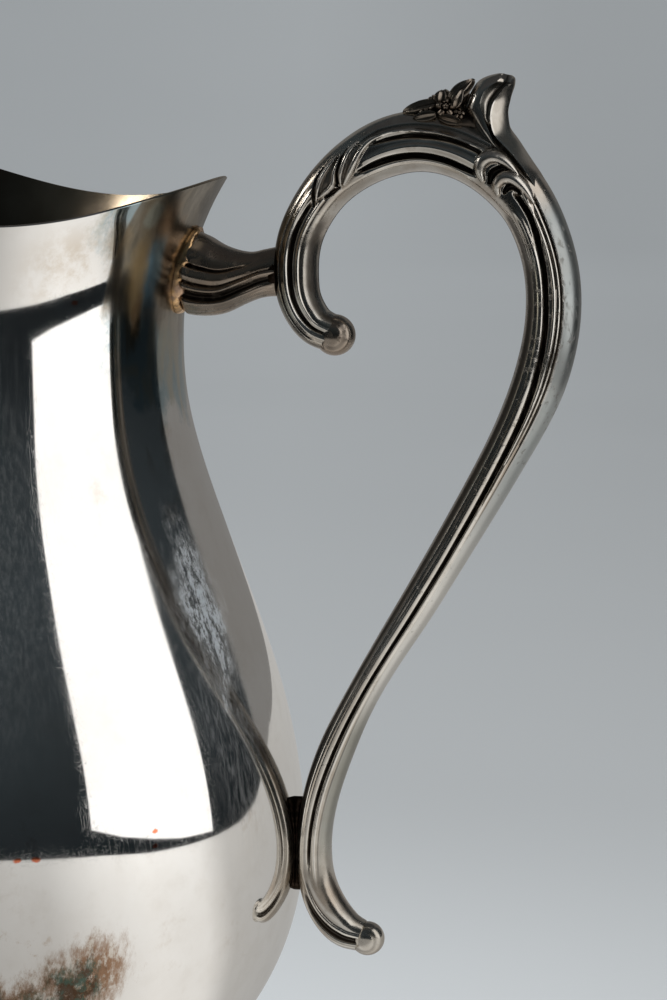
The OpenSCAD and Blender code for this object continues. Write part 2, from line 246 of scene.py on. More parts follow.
STEM = np.array([[85.4, 174.7, 3.9, 3.9], [82, 176.4, 4.2, 4.4], [79.2, 181, 4.4, 4.7],
                 [78.4, 186, 4.6, 4.9], [78.7, 192, 4.6, 5.0], [80.6, 197.6, 4.6, 5.0],
                 [84.8, 204, 4.8, 5.1], [90.5, 209, 5.4, 5.3], [97, 212.4, 6.0, 5.6],
                 [104, 213.8, 6.2, 5.9], [111, 212.7, 6.2, 6.0], [117, 209.8, 6.1, 6.0],
                 [121.9, 205.9, 6.0, 6.0], [126.2, 200.4, 5.6, 6.0], [129.4, 193, 5.5, 6.0],
                 [131, 185, 5.6, 6.0], [130.8, 176, 5.6, 6.0], [128.8, 167, 5.5, 5.8],
                 [125.7, 159, 5.1, 5.6], [121.5, 150.6, 4.6, 5.4], [116.2, 141, 4.3, 5.1],
                 [109.6, 129.6, 4.0, 4.8], [103, 118.4, 3.8, 4.5], [96.4, 107.8, 3.4, 4.2],
                 [91.2, 98.6, 3.3, 4.0], [86.9, 89.4, 3.7, 4.0], [83.6, 80, 3.7, 4.1],
                 [82.0, 71, 3.6, 4.3], [82.2, 62.5, 3.75, 4.5], [84.4, 56, 4.1, 4.6],
                 [88, 51.4, 4.0, 4.3], [91.8, 49.8, 3.3, 3.4]])
NU, NQ = 1000, 121
U = np.linspace(0, len(STEM) - 1, NU)
C4 = catmull(STEM, U)
ker = np.exp(-0.5 * (np.arange(-30, 31) / 9.0) ** 2)
ker /= ker.sum()
pad = np.vstack([2 * C4[0] - C4[30:0:-1], C4, 2 * C4[-1] - C4[-2:-32:-1]])
C4 = np.stack([np.convolve(pad[:, k], ker, "valid") for k in range(4)], 1)
NU = 1300
close = np.linspace(0, len(STEM) - 1, 4001)
dens = 1 + 2 * (smooth((close - 5.0) / 0.4) * smooth((8.1 - close) / 0.4) + smooth((close - 10.6) / 0.4) * smooth((13.6 - close) / 0.4))
cum = np.r_[0, np.cumsum((dens[1:] + dens[:-1]) / 2)]
U_NEW = np.interp(np.linspace(0, cum[-1], NU), cum, close)
C4 = np.stack([np.interp(U_NEW, U, C4[:, k]) for k in range(4)], 1)
C4 = np.stack([np.convolve(np.pad(C4[:, k], 3, mode="reflect", reflect_type="odd"), np.ones(7) / 7, "valid") for k in range(4)], 1)
U = U_NEW
LOW = int(np.searchsorted(U, 18.6))
TAN = np.gradient(C4[:, :2], axis=0)
TAN /= np.linalg.norm(TAN, axis=1)[:, None]
NOR = np.stack([-TAN[:, 1], TAN[:, 0]], 1)          # outwards from the loop is +1


def keys(table, col):
    T = np.array(table, float)
    return np.interp(U, T[:, 0], T[:, col])


def window(u0, u1, f0=0.35, f1=0.35):
    return smooth((U - u0) / f0) * smooth((u1 - U) / f1)


def seg_dist(X, Z, pts):
    """Distance from every (X, Z) to a polyline, and how far along it, 0 to 1."""
    pts = spline_through(pts, 40) if len(pts) > 2 else np.asarray(pts, float)
    best = np.full(X.shape, 1e9)
    par = np.zeros(X.shape)
    n = len(pts) - 1
    for k in range(n):
        a, b = pts[k], pts[k + 1]
        d = b - a
        L = float(d @ d) or 1e-9
        t = np.clip(((X - a[0]) * d[0] + (Z - a[1]) * d[1]) / L, 0, 1)
        r = np.hypot(X - a[0] - t * d[0], Z - a[1] - t * d[1])
        m = r < best
        best = np.where(m, r, best)
        par = np.where(m, (k + t) / n, par)
    return best, par


def roll_shape(X, Z, pts, radii, height):
    """A raised, rounded stroke."""
    d, t = seg_dist(X, Z, pts)
    r = np.interp(t, np.linspace(0, 1, len(radii)), radii)
    x = np.clip(1 - (d / r) ** 2, 0, 1)
    return height * x ** (1.15 if max(radii) < 0.9 else 0.85) * (r / max(radii)) ** 0.5


# each flute or rib: [station, place across the width, half its width, height in mm]
RIBS = [
    # upper scroll, from the knob to the first leaf
    dict(win=(-1, 6.0), k=[[0, 0.34, .15, .35], [1.5, 0.36, .16, .5], [4.5, 0.36, .16, .5], [6.0, 0.34, .12, .35]]),
    dict(win=(-1, 5.7), k=[[0, 0.04, .12, -.8], [1.5, 0.08, .15, -1.35], [4.5, 0.10, .15, -1.35], [5.7, 0.06, .12, -1.0]]),
    dict(win=(-1, 6.2), k=[[0, -0.20, .10, .25], [2, -0.22, .11, .4], [4.5, -0.22, .11, .4], [6.2, -0.26, .11, .3]]),
    dict(win=(0.4, 5.8), k=[[0, 0.56, .06, -.35], [3, 0.60, .07, -.5], [6, 0.56, .06, -.25]]),
    # arch
    dict(win=(6.9, 11.2), k=[[6.9, -0.36, .10, -1.1], [7.6, -0.40, .14, -1.5], [9.2, -0.43, .13, -1.6], [10.4, -0.44, .13, -1.6], [11.2, -0.40, .11, -1.1]]),
    dict(win=(7.0, 11.1), k=[[7, -0.58, .05, .15], [11.1, -0.58, .06, .2]]),
    dict(win=(7.2, 11.2), k=[[7.2, -0.14, .14, .3], [8, -0.13, .18, .5], [11.2, -0.12, .18, .45]]),
    dict(win=(7.6, 11.1), k=[[7.6, 0.28, .05, -.4], [8.2, 0.24, .11, -.9], [9.2, 0.19, .12, -.9], [10.3, 0.24, .11, -.9], [11.1, 0.26, .08, -.6]]),
    dict(win=(7.3, 11.3), k=[[7.3, 0.32, .07, .35], [7.8, 0.43, .08, .45], [8.3, 0.45, .08, .5], [9.2, 0.36, .08, .5], [10.3, 0.36, .08, .5], [11.3, 0.44, .08, .4]]),
    dict(win=(7.3, 11.3), k=[[7.3, 0.46, .06, -.2], [8, 0.58, .10, -.28], [9.2, 0.52, .11, -.28], [10.5, 0.53, .11, -.28], [11.3, 0.60, .07, -.3]]),
    # from the husks down to the belly
    dict(win=(12.5, 28.1, .5, .9), k=[[12, -0.72, .20, -.35], [17, -0.72, .20, -.45], [20, -0.72, .22, -.45], [28, -0.76, .16, -.3]]),
    dict(win=(12.7, 28.2, .5, .8), k=[[12, -0.30, .16, .35], [15.3, -0.32, .17, .45], [18.1, -0.24, .19, .45], [21, -0.12, .19, .42], [25.4, -0.28, .22, .42], [28, -0.36, .20, .3]]),
    dict(win=(12.3, 28.1, .3, .9), k=[[12.3, 0.02, .12, -1.2], [13.2, 0.03, .13, -1.5], [14, -0.06, .13, -1.5], [15.3, -0.12, .12, -1.4], [17, -0.04, .12, -1.35], [18.1, .03, .12, -1.3], [21, .16, .13, -1.2], [23, .12, .13, -1.2], [25.4, .03, .13, -1.2], [28, -.10, .13, -.9]]),
    dict(win=(12.8, 20.5, .5, .9), k=[[12.8, 0.26, .03, -.35], [15.3, 0.28, .04, -.4], [20.5, 0.30, .03, -.25]]),
    dict(win=(11.0, 28.6, .3, .9), k=[[11.0, 0.86, .08, .3], [11.6, 0.62, .09, .45], [12, 0.42, .10, .5], [12.6, .27, .11, .5], [13.4, 0.18, .10, .5], [17, 0.18, .10, .5], [19, 0.25, .10, .35], [21, 0.34, .12, .15], [24, 0.30, .12, .2], [25.4, 0.27, .11, .3], [28.6, 0.16, .12, .3]]),
    dict(win=(10.9, 28.3, .3, .9), k=[[10.9, 1.02, .07, -.5], [11.6, 0.78, .08, -.7], [12, 0.60, .08, -.75], [12.6, .48, .07, -.6], [13.4, 0.42, .06, -.5], [17, 0.42, .06, -.45], [19, 0.42, .06, -.2], [21, 0.46, .06, 0], [24, 0.48, .08, -.05], [25.4, 0.46, .08, -.14], [28, 0.36, .07, -.14]]),
    dict(win=(10.9, 12.4, .3, .5), k=[[10.9, 0.66, .08, -.5], [11.6, 0.50, .08, -.6], [12.4, 0.40, .07, -.4]]),
    # the spoon-shaped lower end
    dict(win=(27.6, 31.5, .8, .3), k=[[27.6, -0.50, .14, .3], [29, -0.24, .16, .5], [30, 0.02, .18, .5], [31, 0.12, .18, .4]]),
    dict(win=(28.1, 31.5, .7, .3), k=[[28, -0.62, .10, -.4], [29, -0.50, .20, -1.3], [30, -0.32, .26, -1.7], [31, -0.22, .26, -1.5]]),
    dict(win=(28.0, 31.5, .7, .3), k=[[28, -0.84, .10, .3], [29, -0.78, .14, .4], [31, -0.66, .18, .5]]),
]


# worn, bright lines, partly painted highlights, and dull zones: [station, place across the width, half its width],
# strength
WORN_AND_HIGHLIGHT_LINES = [
    (dict(win=(0, 6.0), k=[[0, -0.18, .07], [4.5, -0.21, .07], [6, -0.26, .06]]), 1.0),
    (dict(win=(0.4, 6.0), k=[[0, 0.40, .09], [6, 0.38, .07]]), .45),
    (dict(win=(7.2, 11.3), k=[[7.2, 0.32, .05], [7.8, 0.43, .05], [8.3, 0.46, .05], [9.2, 0.37, .05], [10.3, 0.37, .05], [11.3, 0.45, .05]]), .8),
    (dict(win=(7.4, 11.1), k=[[7.4, 0.06, .04], [8.2, 0.04, .04], [9.2, 0.03, .04], [10.3, 0.10, .04], [11.1, 0.14, .04]]), .7),
    (dict(win=(6.7, 11.3), k=[[6.7, -0.50, .05], [8, -0.56, .05], [11.3, -0.57, .05]]), .8),
    (dict(win=(12.4, 28.3, .5, .9), k=[[12.4, -0.40, .05], [15.3, -0.41, .05], [18.1, -0.41, .05], [21, -0.31, .06], [25.4, -0.56, .06], [28.3, -0.62, .06]]), 1.0),
    (dict(win=(27.8, 31.4, .6, .3), k=[[27.8, -0.25, .12], [28.6, -0.05, .16], [29.7, 0.30, .18], [31.4, 0.34, .18]]), 1.0),
    (dict(win=(12.6, 28.3, .5, .9), k=[[12.6, .24, .05], [13.4, 0.17, .05], [17, 0.18, .05], [19.5, 0.34, .07], [21, 0.46, .14], [24, 0.40, .12], [25.4, 0.29, .07], [28.3, 0.16, .07]]), .9),
]
DULL = [
    (dict(win=(-1, 5.8, .6, .8), k=[[0, -0.70, .36], [6, -0.74, .36]]), .80),
    (dict(win=(-1, 6.6, .6, .8), k=[[0, 0.80, .28], [6.6, 0.86, .26]]), .65),
    (dict(win=(7.2, 11.6, .5, .5), k=[[7, 0.66, .16], [11.6, 0.70, .16]]), .40),
    (dict(win=(12.6, 28.4, .6, .9), k=[[12.6, -0.66, .20], [18, -0.70, .24], [24, -0.78, .26], [28.4, -0.84, .20]]), .75),
    (dict(win=(28.2, 31.4, .5, .3), k=[[28, -0.66, .16], [29, -0.52, .26], [30, -0.38, .30], [31.4, -0.26, .26]]), .65),
    (dict(win=(27.6, 31.0, .8, .4), k=[[27.6, 0.88, .22], [29, 0.84, .30], [31, 0.86, .26]]), .60),
]


def zones(Q, table):
    out = np.zeros_like(Q)
    for r, strength in table:
        win = r["win"]
        W = window(win[0], win[1], *(win[2:] or (0.35, 0.35)))[:, None]
        c, hw = (keys(r["k"], k)[:, None] for k in (1, 2))
        out = np.maximum(out, W * strength * bump(Q, c, hw))
    return out


def stem_height():
    t = np.linspace(-1, 1, NQ)
    q = np.sin(np.pi / 2 * t) * 0.5 + np.sin(np.pi / 2 * np.sin(np.pi / 2 * t)) * 0.5
    q = np.clip(q, -1, 1)
    Q = np.tile(q, (NU, 1))
    w, d = C4[:, 2:3], C4[:, 3:4]
    pin = np.interp(U, [0, 1, 27, 29, 31], [2.6, 4.2, 4.2, 3.0, 2.4])[:, None]
    aq = np.abs(Q)
    inner = 1 - aq ** pin
    outer = 1 - aq ** 2.5
    env = d * np.where(Q < 0, inner, outer) ** 0.5
    # the strip that faces into the loop leans back
    ch = keys([[0, .3], [1, 1.3], [5.5, 1.2], [7.5, 1.0], [12, 1.1], [17, 1.0], [20, .7], [28, .6], [29.5, .2], [31, .1]], 1)[:, None]
    cq = keys([[0, -.34], [4.5, -.36], [6, -.42], [7.5, -.62], [17, -.60], [20, -.46], [28, -.50], [31, -.6]], 1)[:, None]
    env = env - ch * smooth((cq - Q) / (1 + cq))
    # the ribs and flutes, added as heights across the width; the wide outer band above is a little flatter than an
    # ellipse all along
    h = np.zeros_like(env)
    for r in RIBS:
        win = r["win"]
        W = window(win[0], win[1], *(win[2:] or (0.35, 0.35)))[:, None]
        c, hw, a = (keys(r["k"], k)[:, None] for k in (1, 2, 3))
        sc = np.clip(d / 5.4, 0.7, 1.1)
        h += W * a * sc * bump(Q, c, hw)
    X = C4[:, 0:1] + NOR[:, 0:1] * w * Q
    Z = C4[:, 1:2] + NOR[:, 1:2] * w * Q
    return Q, X, Z, env, h


def ornament(X, Z):
    """Leaves and husks cast on the flanks of the stem, as heights over the (x, z) plane."""
    o = np.zeros_like(X)
    cut = np.zeros_like(X)
    # two leaf curls at the start of the arch, each a cupped tongue between two rims
    for pts, radii, height in (
        ([[84.4, 202.9], [85.4, 204.8], [86.2, 207.0], [87.8, 210.0]], [.5, 1.5, 1.45, .3], .55),
        ([[83.5, 201.8], [83.8, 203.9], [84.4, 206.0], [85.5, 208.0], [87.6, 210.7]], [.3, .78, .84, .7, .25], 1.3),
        ([[84.0, 202.3], [85.6, 203.7], [86.8, 205.2], [87.1, 207.0], [87.6, 208.9], [88.4, 210.8]], [.3, .78, .84, .66, .5, .25], 1.2),
        ([[89.0, 205.4], [89.5, 208.2], [90.9, 211.2], [92.6, 213.2]], [.5, 1.35, 1.2, .3], .55),
        ([[88.6, 204.9], [88.5, 206.8], [89.1, 209.2], [90.1, 211.5], [91.9, 213.6]], [.3, .82, .88, .75, .25], 1.4),
        ([[89.2, 205.1], [90.2, 207.3], [91.4, 209.8], [92.7, 212.1], [94.9, 214.2], [97.0, 215.1]], [.3, .85, .92, .78, .62, .25], 1.25),
    ):
        o = np.maximum(o, roll_shape(X, Z, pts, radii, height))
    cut = np.maximum(cut, roll_shape(X, Z, [[87.6, 204.9], [87.8, 207.2], [88.6, 209.7], [89.8, 212.2]], [.4, .6, .55, .2], 1.3))
    cut = np.maximum(cut, roll_shape(X, Z, [[82.9, 200.6], [82.9, 203.6], [83.4, 205.8], [84.8, 208.3]], [.3, .45, .45, .2], .8))
    cut = np.maximum(cut, roll_shape(X, Z, [[85.2, 202.2], [86.6, 203.3], [88.2, 204.4]], [.3, .5, .3], .9))
    # two husks that the long flutes spring from
    o = np.maximum(o, roll_shape(X, Z, [[117.5, 206.4], [116.9, 208.4], [117.7, 210.4], [119.5, 211.2], [121.4, 210.7], [123.1, 209.3], [124.8, 207.3]], [.6, 1.3, 1.6, 1.55, 1.3, .9, .25], 1.5))
    o = np.maximum(o, roll_shape(X, Z, [[120.6, 203.6], [120.4, 205.4], [121.4, 206.7], [123.0, 207.0], [124.8, 206.0], [126.3, 204.4], [127.8, 202.0]], [.5, 1.15, 1.5, 1.4, 1.15, .8, .25], 1.4))
    cut = np.maximum(cut, roll_shape(X, Z, [[118.9, 205.9], [119.4, 207.5], [120.9, 208.4], [122.9, 208.2]], [.5, .95, .9, .3], 1.6))
    cut = np.maximum(cut, roll_shape(X, Z, [[121.9, 203.9], [122.7, 204.9], [123.9, 204.9], [125.0, 203.6]], [.5, .8, .75, .3], 1.4))
    return o, cut


Q, SX, SZ, ENV, H = stem_height()
ORN, CUT = ornament(SX, SZ)
near_edge = np.clip(ENV / 2.0, 0, 1)
blend_o = smooth(ORN / 0.5)
rel = H * (1 - blend_o) - CUT * (1 - blend_o)
DEPTH = np.maximum(ENV + (rel + ORN) * near_edge, 0.0)
DEPTH[:, 0] = DEPTH[:, -1] = 0.0
# little dents and casting waviness
wave = 0.03 * np.sin(U * 3.1)[:, None] * np.sin(Q * 3 + 1) + 0.015 * np.sin(U[:, None] * 7.3 + Q * 2)
DEPTH = np.maximum(DEPTH + wave * near_edge, 0)
CAVITY = np.clip(-(rel) / 1.2, 0, 1) * near_edge
# also dark in the creases next to the ornaments
lap = DEPTH - np.array([np.convolve(np.pad(r, 4, mode="edge"), np.ones(9) / 9, "valid") for r in DEPTH])
lap2 = DEPTH - np.array([np.convolve(np.pad(c, 5, mode="edge"), np.ones(11) / 11, "valid") for c in DEPTH.T]).T
CONC = np.clip(-(lap + lap2) / 0.25, 0, 1) * near_edge
worn_and_highlight_at = zones(Q, WORN_AND_HIGHLIGHT_LINES) * (1 - blend_o)
# bright ridges and edges: partly real wear, partly painted highlight lines
EDGE_WEAR_AND_HIGHLIGHT = np.clip(np.clip((lap + lap2) / 0.16, 0, 1) * near_edge * 0.8 + worn_and_highlight_at, 0, 1)
CAVITY = np.clip(CAVITY + 0.32 * CONC + zones(Q, DULL) * (1 - worn_and_highlight_at), 0, 1) * (1 - 0.6 * worn_and_highlight_at)


def build_half(name, side):
    P = np.stack([SX, side * DEPTH, SZ], -1).reshape(-1, 3)
    n, m = NU, NQ
    F = grid_quads(n, m, close=False, flip=side < 0)
    cav, edge = CAVITY.reshape(-1), EDGE_WEAR_AND_HIGHLIGHT.reshape(-1)
    band = (smooth((Q - 0.46) / 0.06) * (smooth((U - 12.6) / 0.9) * smooth((28.2 - U) / 1.6))[:, None]).reshape(-1)
    # flat joint face between the halves, on its own points
    k = 7
    qq = np.linspace(-1, 1, k)
    J = np.stack([C4[:, 0:1] + NOR[:, 0:1] * C4[:, 2:3] * qq, np.zeros((n, k)), C4[:, 1:2] + NOR[:, 1:2] * C4[:, 2:3] * qq], -1).reshape(-1, 3)
    base = len(P)
    F += grid_quads(n, k, close=False, base=base, flip=side > 0)
    V = np.vstack([P, J])
    for row, fl in ((0, side > 0), (n - 1, side < 0)):
        c = len(V)
        V = np.vstack([V, [[C4[row, 0], side * C4[row, 3] * 0.4, C4[row, 1]]]])
        ring = [row * m + j for j in range(m)] + [base + row * k + j for j in range(k - 2, 0, -1)]
        F += fan(c, ring, flip=not fl)
    z = np.zeros(len(V) - len(P))
    ob = mesh_object(name, V, F, {"cavity": np.r_[cav, z], "edge": np.r_[edge, z], "band": np.r_[band, z], "relief": np.r_[blend_o.reshape(-1), z]}, sharp=70)
    return ob


near_half = piece(build_half("handle_half_near", -1), "handle_silver", "handle_near_half")
far_half = piece(build_half("handle_half_far", 1), "handle_silver", "handle_far_half")

# ------------------------------------------------------------------ knobs


def blob_mesh(name, fn, nu=72, nv=56, attr=None):
    """A closed form from fn(theta, phi) -> (point, cavity)."""
    th = np.arange(nu) * 2 * np.pi / nu
    ph = np.linspace(0, np.pi, nv)
    T, PH = np.meshgrid(th, ph)
    P, cav = fn(T, PH)
    V = P.reshape(-1, 3)
    F = grid_quads(nv, nu)
    return mesh_object(name, V, F, {"cavity": cav.reshape(-1), "edge": np.zeros(cav.size), "band": np.zeros(cav.size)}, sharp=60)


def scroll_end(centre, r, out, depth, twist):
    """Ball with a lip curling round it, like a closed bud. out is the direction the scroll ends in."""
    cx, cz = centre
    ox, oz = np.array(out) / np.linalg.norm(out)

    def fn(T, PH):
        # axis of the ball runs through the handle's plane, front to back
        x, y, z = np.sin(PH) * np.cos(T), np.cos(PH), np.sin(PH) * np.sin(T)
        a = np.arctan2(z * ox - x * oz, x * ox + z * oz)      # 0 towards the scroll's end
        rad = np.sin(PH)
        # groove that winds inwards over the near and the far face
        wind = 0.60 + 0.16 * (a * twist / np.pi)
        g = np.exp(-((rad - wind) / 0.15) ** 2) * smooth((2.6 - np.abs(a - 0.4 * twist)) / 1.0)
        lip = np.exp(-((rad - wind - 0.22) / 0.14) ** 2)
        k = 1 - 0.03 * g + 0.012 * lip
        P = np.stack([cx + r * x * k, depth * y * (k - 0.02 * (1 - rad)), cz + r * z * k], -1)
        return P, np.clip(0.5 * g, 0, 1)

    return fn


upper_knob = piece(blob_mesh("upper_scroll_knob", scroll_end((86.3, 174.2), 4.2, (0.86, -0.5), 4.3, 1.0), 128, 96), "handle_silver", "upper_knob")
lower_knob = piece(blob_mesh("lower_scroll_knob", scroll_end((93.2, 49.3), 3.5, (0.95, -0.1), 3.6, -1.0), 128, 96), "handle_silver", "lower_knob")

# -------------------------------------------------------------------- arm

ARM = np.array([[57.4, 187.0, 8.9, 7.2], [60, 186.0, 8.3, 6.8], [64, 185.2, 6.8, 5.9],
                [68.5, 185.7, 5.2, 4.8], [72, 186.6, 4.9, 4.2], [76, 187.2, 5.2, 3.8]])


def neck_surface(y, z):
    t = np.clip((z - 171) / (LH - 171), 0, 1.2)
    r = 53.5 + (LR - 53.5) * t ** 2.3
    return np.sqrt(np.maximum(r * r - y * y, 1))


# lines along the arm's flanks: [place along it, height on the flank, half its width, relief in mm]
ARM_LINES = [
    [[0, .60, .33, .35], [.4, .60, .30, .30], [.8, .80, .2, .1]],
    [[0, .27, .08, -1.1], [.35, .24, .07, -.9], [.62, .48, .07, -.55], [.80, .66, .06, 0]],
    [[0, .02, .20, .45], [.35, .0, .20, .40], [.7, .3, .2, .25], [1, .4, .2, .1]],
    [[0, -.14, .05, -.7], [.35, -.18, .05, -.5], [.7, .10, .05, -.35], [1, .17, .06, -.3]],
    [[0, -.26, .11, .55], [.35, -.29, .10, .60], [.7, -.02, .11, .55], [1, .05, .12, .45]],
    [[0, -.47, .17, -1.4], [.35, -.48, .16, -1.5], [.7, -.29, .20, -1.2], [1, -.21, .20, -1.0]],
    [[0, -.72, .12, .35], [.35, -.67, .10, .40], [.7, -.60, .11, .30], [1, -.48, .12, .25]],
    [[0, -.90, .04, -.2], [.4, -.87, .05, -.35], [1, -.76, .06, -.25]],
]


def flank(v, s):
    h = np.zeros_like(v)
    cut = np.zeros_like(v)
    for k in ARM_LINES:
        k = np.array(k, float)
        c, w, amp = (float(natural(k[:, 0], k[:, i:i + 1], np.array([min(s, k[-1, 0])]))[0, 0]) for i in (1, 2, 3))
        w = max(w, 0.03)
        amp *= 1.0 if k[-1, 0] >= 1 else float(smooth((k[-1, 0] - s) / 0.30))
        b = amp * bump(v, c, w)
        h = h + b
        cut = np.maximum(cut, np.clip(-b / 1.0, 0, 1))
    return h, cut


def build_arm():
    n, m = 170, 300
    u = np.linspace(0, 4.62, n)
    c = catmull(ARM, u)
    a = np.arange(m) * 2 * np.pi / m
    v = np.sin(a)
    side = np.sign(np.cos(a)) * np.abs(np.cos(a)) ** 0.55
    notch = flank(v, 0.0)[1]
    V, cav = [], []
    for i in range(n):
        s = i / (n - 1)
        x, zc, hz, hy = c[i]
        h, cut = flank(v, s)
        fade = smooth(s / 0.03 + 0.3) * smooth((1.04 - s) / 0.10)
        end = 1 - 0.14 * (1 - math.sin(math.pi / 2 * min(1, s / 0.07)) ** 0.7)
        y = hy * end * np.sign(np.cos(a)) * np.abs(np.cos(a)) ** 0.88 + side * h * fade * (hy / 6.2)
        z = zc + hz * end * v
        start = neck_surface(y, z) + 0.55 + 1.5 * notch
        f = 1 - smooth(s / 0.30)
        xx = x * (1 - f) + np.maximum(start, x - 2.2) * f
        V.append(np.stack([xx, y, z], 1))
        cav.append(np.clip(cut, 0, 1) * smooth(s / 0.05 + 0.2))
    V = np.array(V)
    cav = np.array(cav)
    P = V.reshape(-1, 3)
    c0, c1 = len(P), len(P) + 1
    P = np.vstack([P, V[0].mean(0)[None], V[-1].mean(0)[None]])
    F = grid_quads(n, m, flip=True) + fan(c0, list(range(m))) + fan(c1, [(n - 1) * m + j for j in range(m)], flip=True)
    return mesh_object("arm_casting", P, F, {"cavity": np.r_[cav.reshape(-1), 1, 1], "edge": np.zeros(len(P)), "band": np.zeros(len(P))}, sharp=70)


arm = piece(build_arm(), "arm_silver", "upper_arm")


def build_collar():
    """Irregular bead of solder, from the neck to the lobed end of the arm."""
    m, n = 300, 26
    a = np.arange(m) * 2 * np.pi / m
    notch = flank(np.sin(a), 0.0)[1]
    x0, zc, hz, hy = ARM[0]
    rough = 0.35 * np.sin(3 * a + 0.6) + 0.30 * np.sin(7 * a + 1) + 0.25 * np.sin(13 * a + 2) + 0.15 * np.sin(29 * a)
    fat = 0.75 + 0.35 * np.cos(a) ** 2 + 0.22 * rough
    co = np.sign(np.cos(a)) * np.abs(np.cos(a)) ** 0.88

    def ring(k, lift):
        y, z = hy * k * co, zc + hz * k * np.sin(a)
        return np.stack([neck_surface(y, z) + lift, y, z], 1)

    V = []
    for i in range(n):
        f = i / (n - 1)                      # 0 under the arm, 1 out on the neck
        g = math.pi * f
        k = 0.86 + (0.11 + 0.045 * fat) * (1 - math.cos(g)) / 2
        lift = 0.04 + 1.2 * fat * math.sin(g) ** 0.8 + (0.7 + 1.2 * notch) * (1 - f) ** 1.5
        V.append(ring(k, lift))
    rows = [ring(0.34, 0.8), ring(0.66, 0.8)] + V + [ring(0.66, 0.04), ring(0.34, 0.04)]
    allr = np.array(rows)
    P = allr.reshape(-1, 3)
    nn = len(allr)
    c0, c1 = len(P), len(P) + 1
    P = np.vstack([P, [[neck_surface(0, zc) + 0.8, 0, zc]], [[neck_surface(0, zc) + 0.04, 0, zc]]])
    F = grid_quads(nn, m, flip=False) + fan(c0, list(range(m)), flip=True) + fan(c1, [(nn - 1) * m + j for j in range(m)])
    return mesh_object("neck_solder_bead", P, F, sharp=70)


collar = piece(build_collar(), "solder", "neck_collar")


def build_arm_solder():
    m, n = 160, 18
    a = np.arange(m) * 2 * np.pi / m
    rough = 0.12 * np.sin(6 * a) + 0.10 * np.sin(11 * a + 1) + 0.08 * np.sin(19 * a)
    V = []
    for i in range(n):
        g = 2 * math.pi * i / n
        x = 73.95 + 0.75 * math.cos(g)
        r = 0.955 + (0.05 + 0.02 * rough) * math.sin(g)
        V.append(np.stack([x + 0.25 * rough, 4.05 * r * np.cos(a), 186.9 + 4.95 * r * np.sin(a)], 1))
    V = np.array(V)
    i, j = np.meshgrid(np.arange(n), np.arange(m), indexing="ij")
    F = np.stack([i * m + j, ((i + 1) % n) * m + j, ((i + 1) % n) * m + (j + 1) % m, i * m + (j + 1) % m], -1).reshape(-1, 4).tolist()
    return mesh_object("arm_solder_line", V.reshape(-1, 3), F, sharp=70)


arm_solder = piece(build_arm_solder(), "solder", "arm_solder")

# ------------------------------------------------------------ thumb rest

# rows up the leaf; each is [left edge, fold, valley, ridge, outer edge] with its half depth, in mm
LEAF_ROWS = [
    [[129.0, 197.6, 2.2], [129.3, 197.7, 2.4], [129.5, 197.8, 2.4], [130.1, 198.0, 2.3], [131.7, 198.6, 0]],
    [[127.9, 201.8, 3.5], [128.2, 202.0, 3.7], [128.4, 202.1, 3.6], [129.0, 202.4, 3.8], [130.6, 203.0, 0]],
    [[126.3, 205.6, 4.7], [126.6, 205.8, 4.9], [126.7, 205.9, 4.6], [127.2, 206.2, 5.0], [128.8, 206.9, 0]],
    [[124.3, 208.0, 5.2], [124.6, 208.3, 5.4], [124.9, 208.6, 4.8], [125.5, 208.9, 5.8], [127.1, 209.4, 0]],
    [[122.1, 210.7, 5.2], [122.4, 211.0, 5.4], [122.6, 211.3, 4.6], [123.2, 211.7, 5.8], [125.2, 212.2, 0]],
    [[119.5, 212.7, 4.6], [120.0, 213.1, 5.0], [120.3, 213.5, 4.2], [121.0, 213.9, 5.6], [123.5, 214.7, 0]],
    [[117.4, 214.6, 3.6], [118.6, 215.9, 5.0], [118.8, 216.1, 3.6], [119.6, 215.5, 5.2], [122.2, 216.5, 0]],
    [[115.1, 216.7, 2.0], [117.6, 218.2, 4.9], [118.2, 218.1, 4.3], [118.9, 217.7, 4.8], [121.8, 218.3, 0]],
    [[113.0, 219.6, 1.2], [116.9, 220.2, 4.8], [117.9, 219.9, 3.8], [118.8, 219.8, 4.5], [121.7, 219.9, 0]],
    [[113.1, 221.2, 1.0], [116.7, 221.8, 4.6], [118.2, 221.7, 3.2], [119.3, 221.7, 4.2], [122.0, 221.5, 0]],
    [[113.9, 223.0, 0.8], [117.3, 223.6, 4.2], [119.1, 223.4, 2.55], [120.3, 223.2, 3.8], [122.4, 223.1, 0]],
    [[114.8, 224.7, 0.5], [118.4, 224.9, 3.6], [120.5, 224.9, 1.8], [121.5, 224.8, 3.2], [122.9, 224.6, 0]],
    [[116.0, 226.1, 0.3], [119.8, 225.8, 2.8], [121.4, 225.7, 1.5], [122.4, 225.7, 2.4], [123.1, 225.7, 0]],
    [[118.0, 227.0, 0.2], [120.2, 226.6, 1.8], [121.6, 226.5, 1.4], [122.5, 226.3, 1.6], [123.0, 226.5, 0]],
    [[119.8, 227.4, 0.05], [120.7, 227.3, 0.6], [121.7, 227.1, 0.6], [122.2, 227.0, 0.6], [122.4, 227.0, 0]],
]


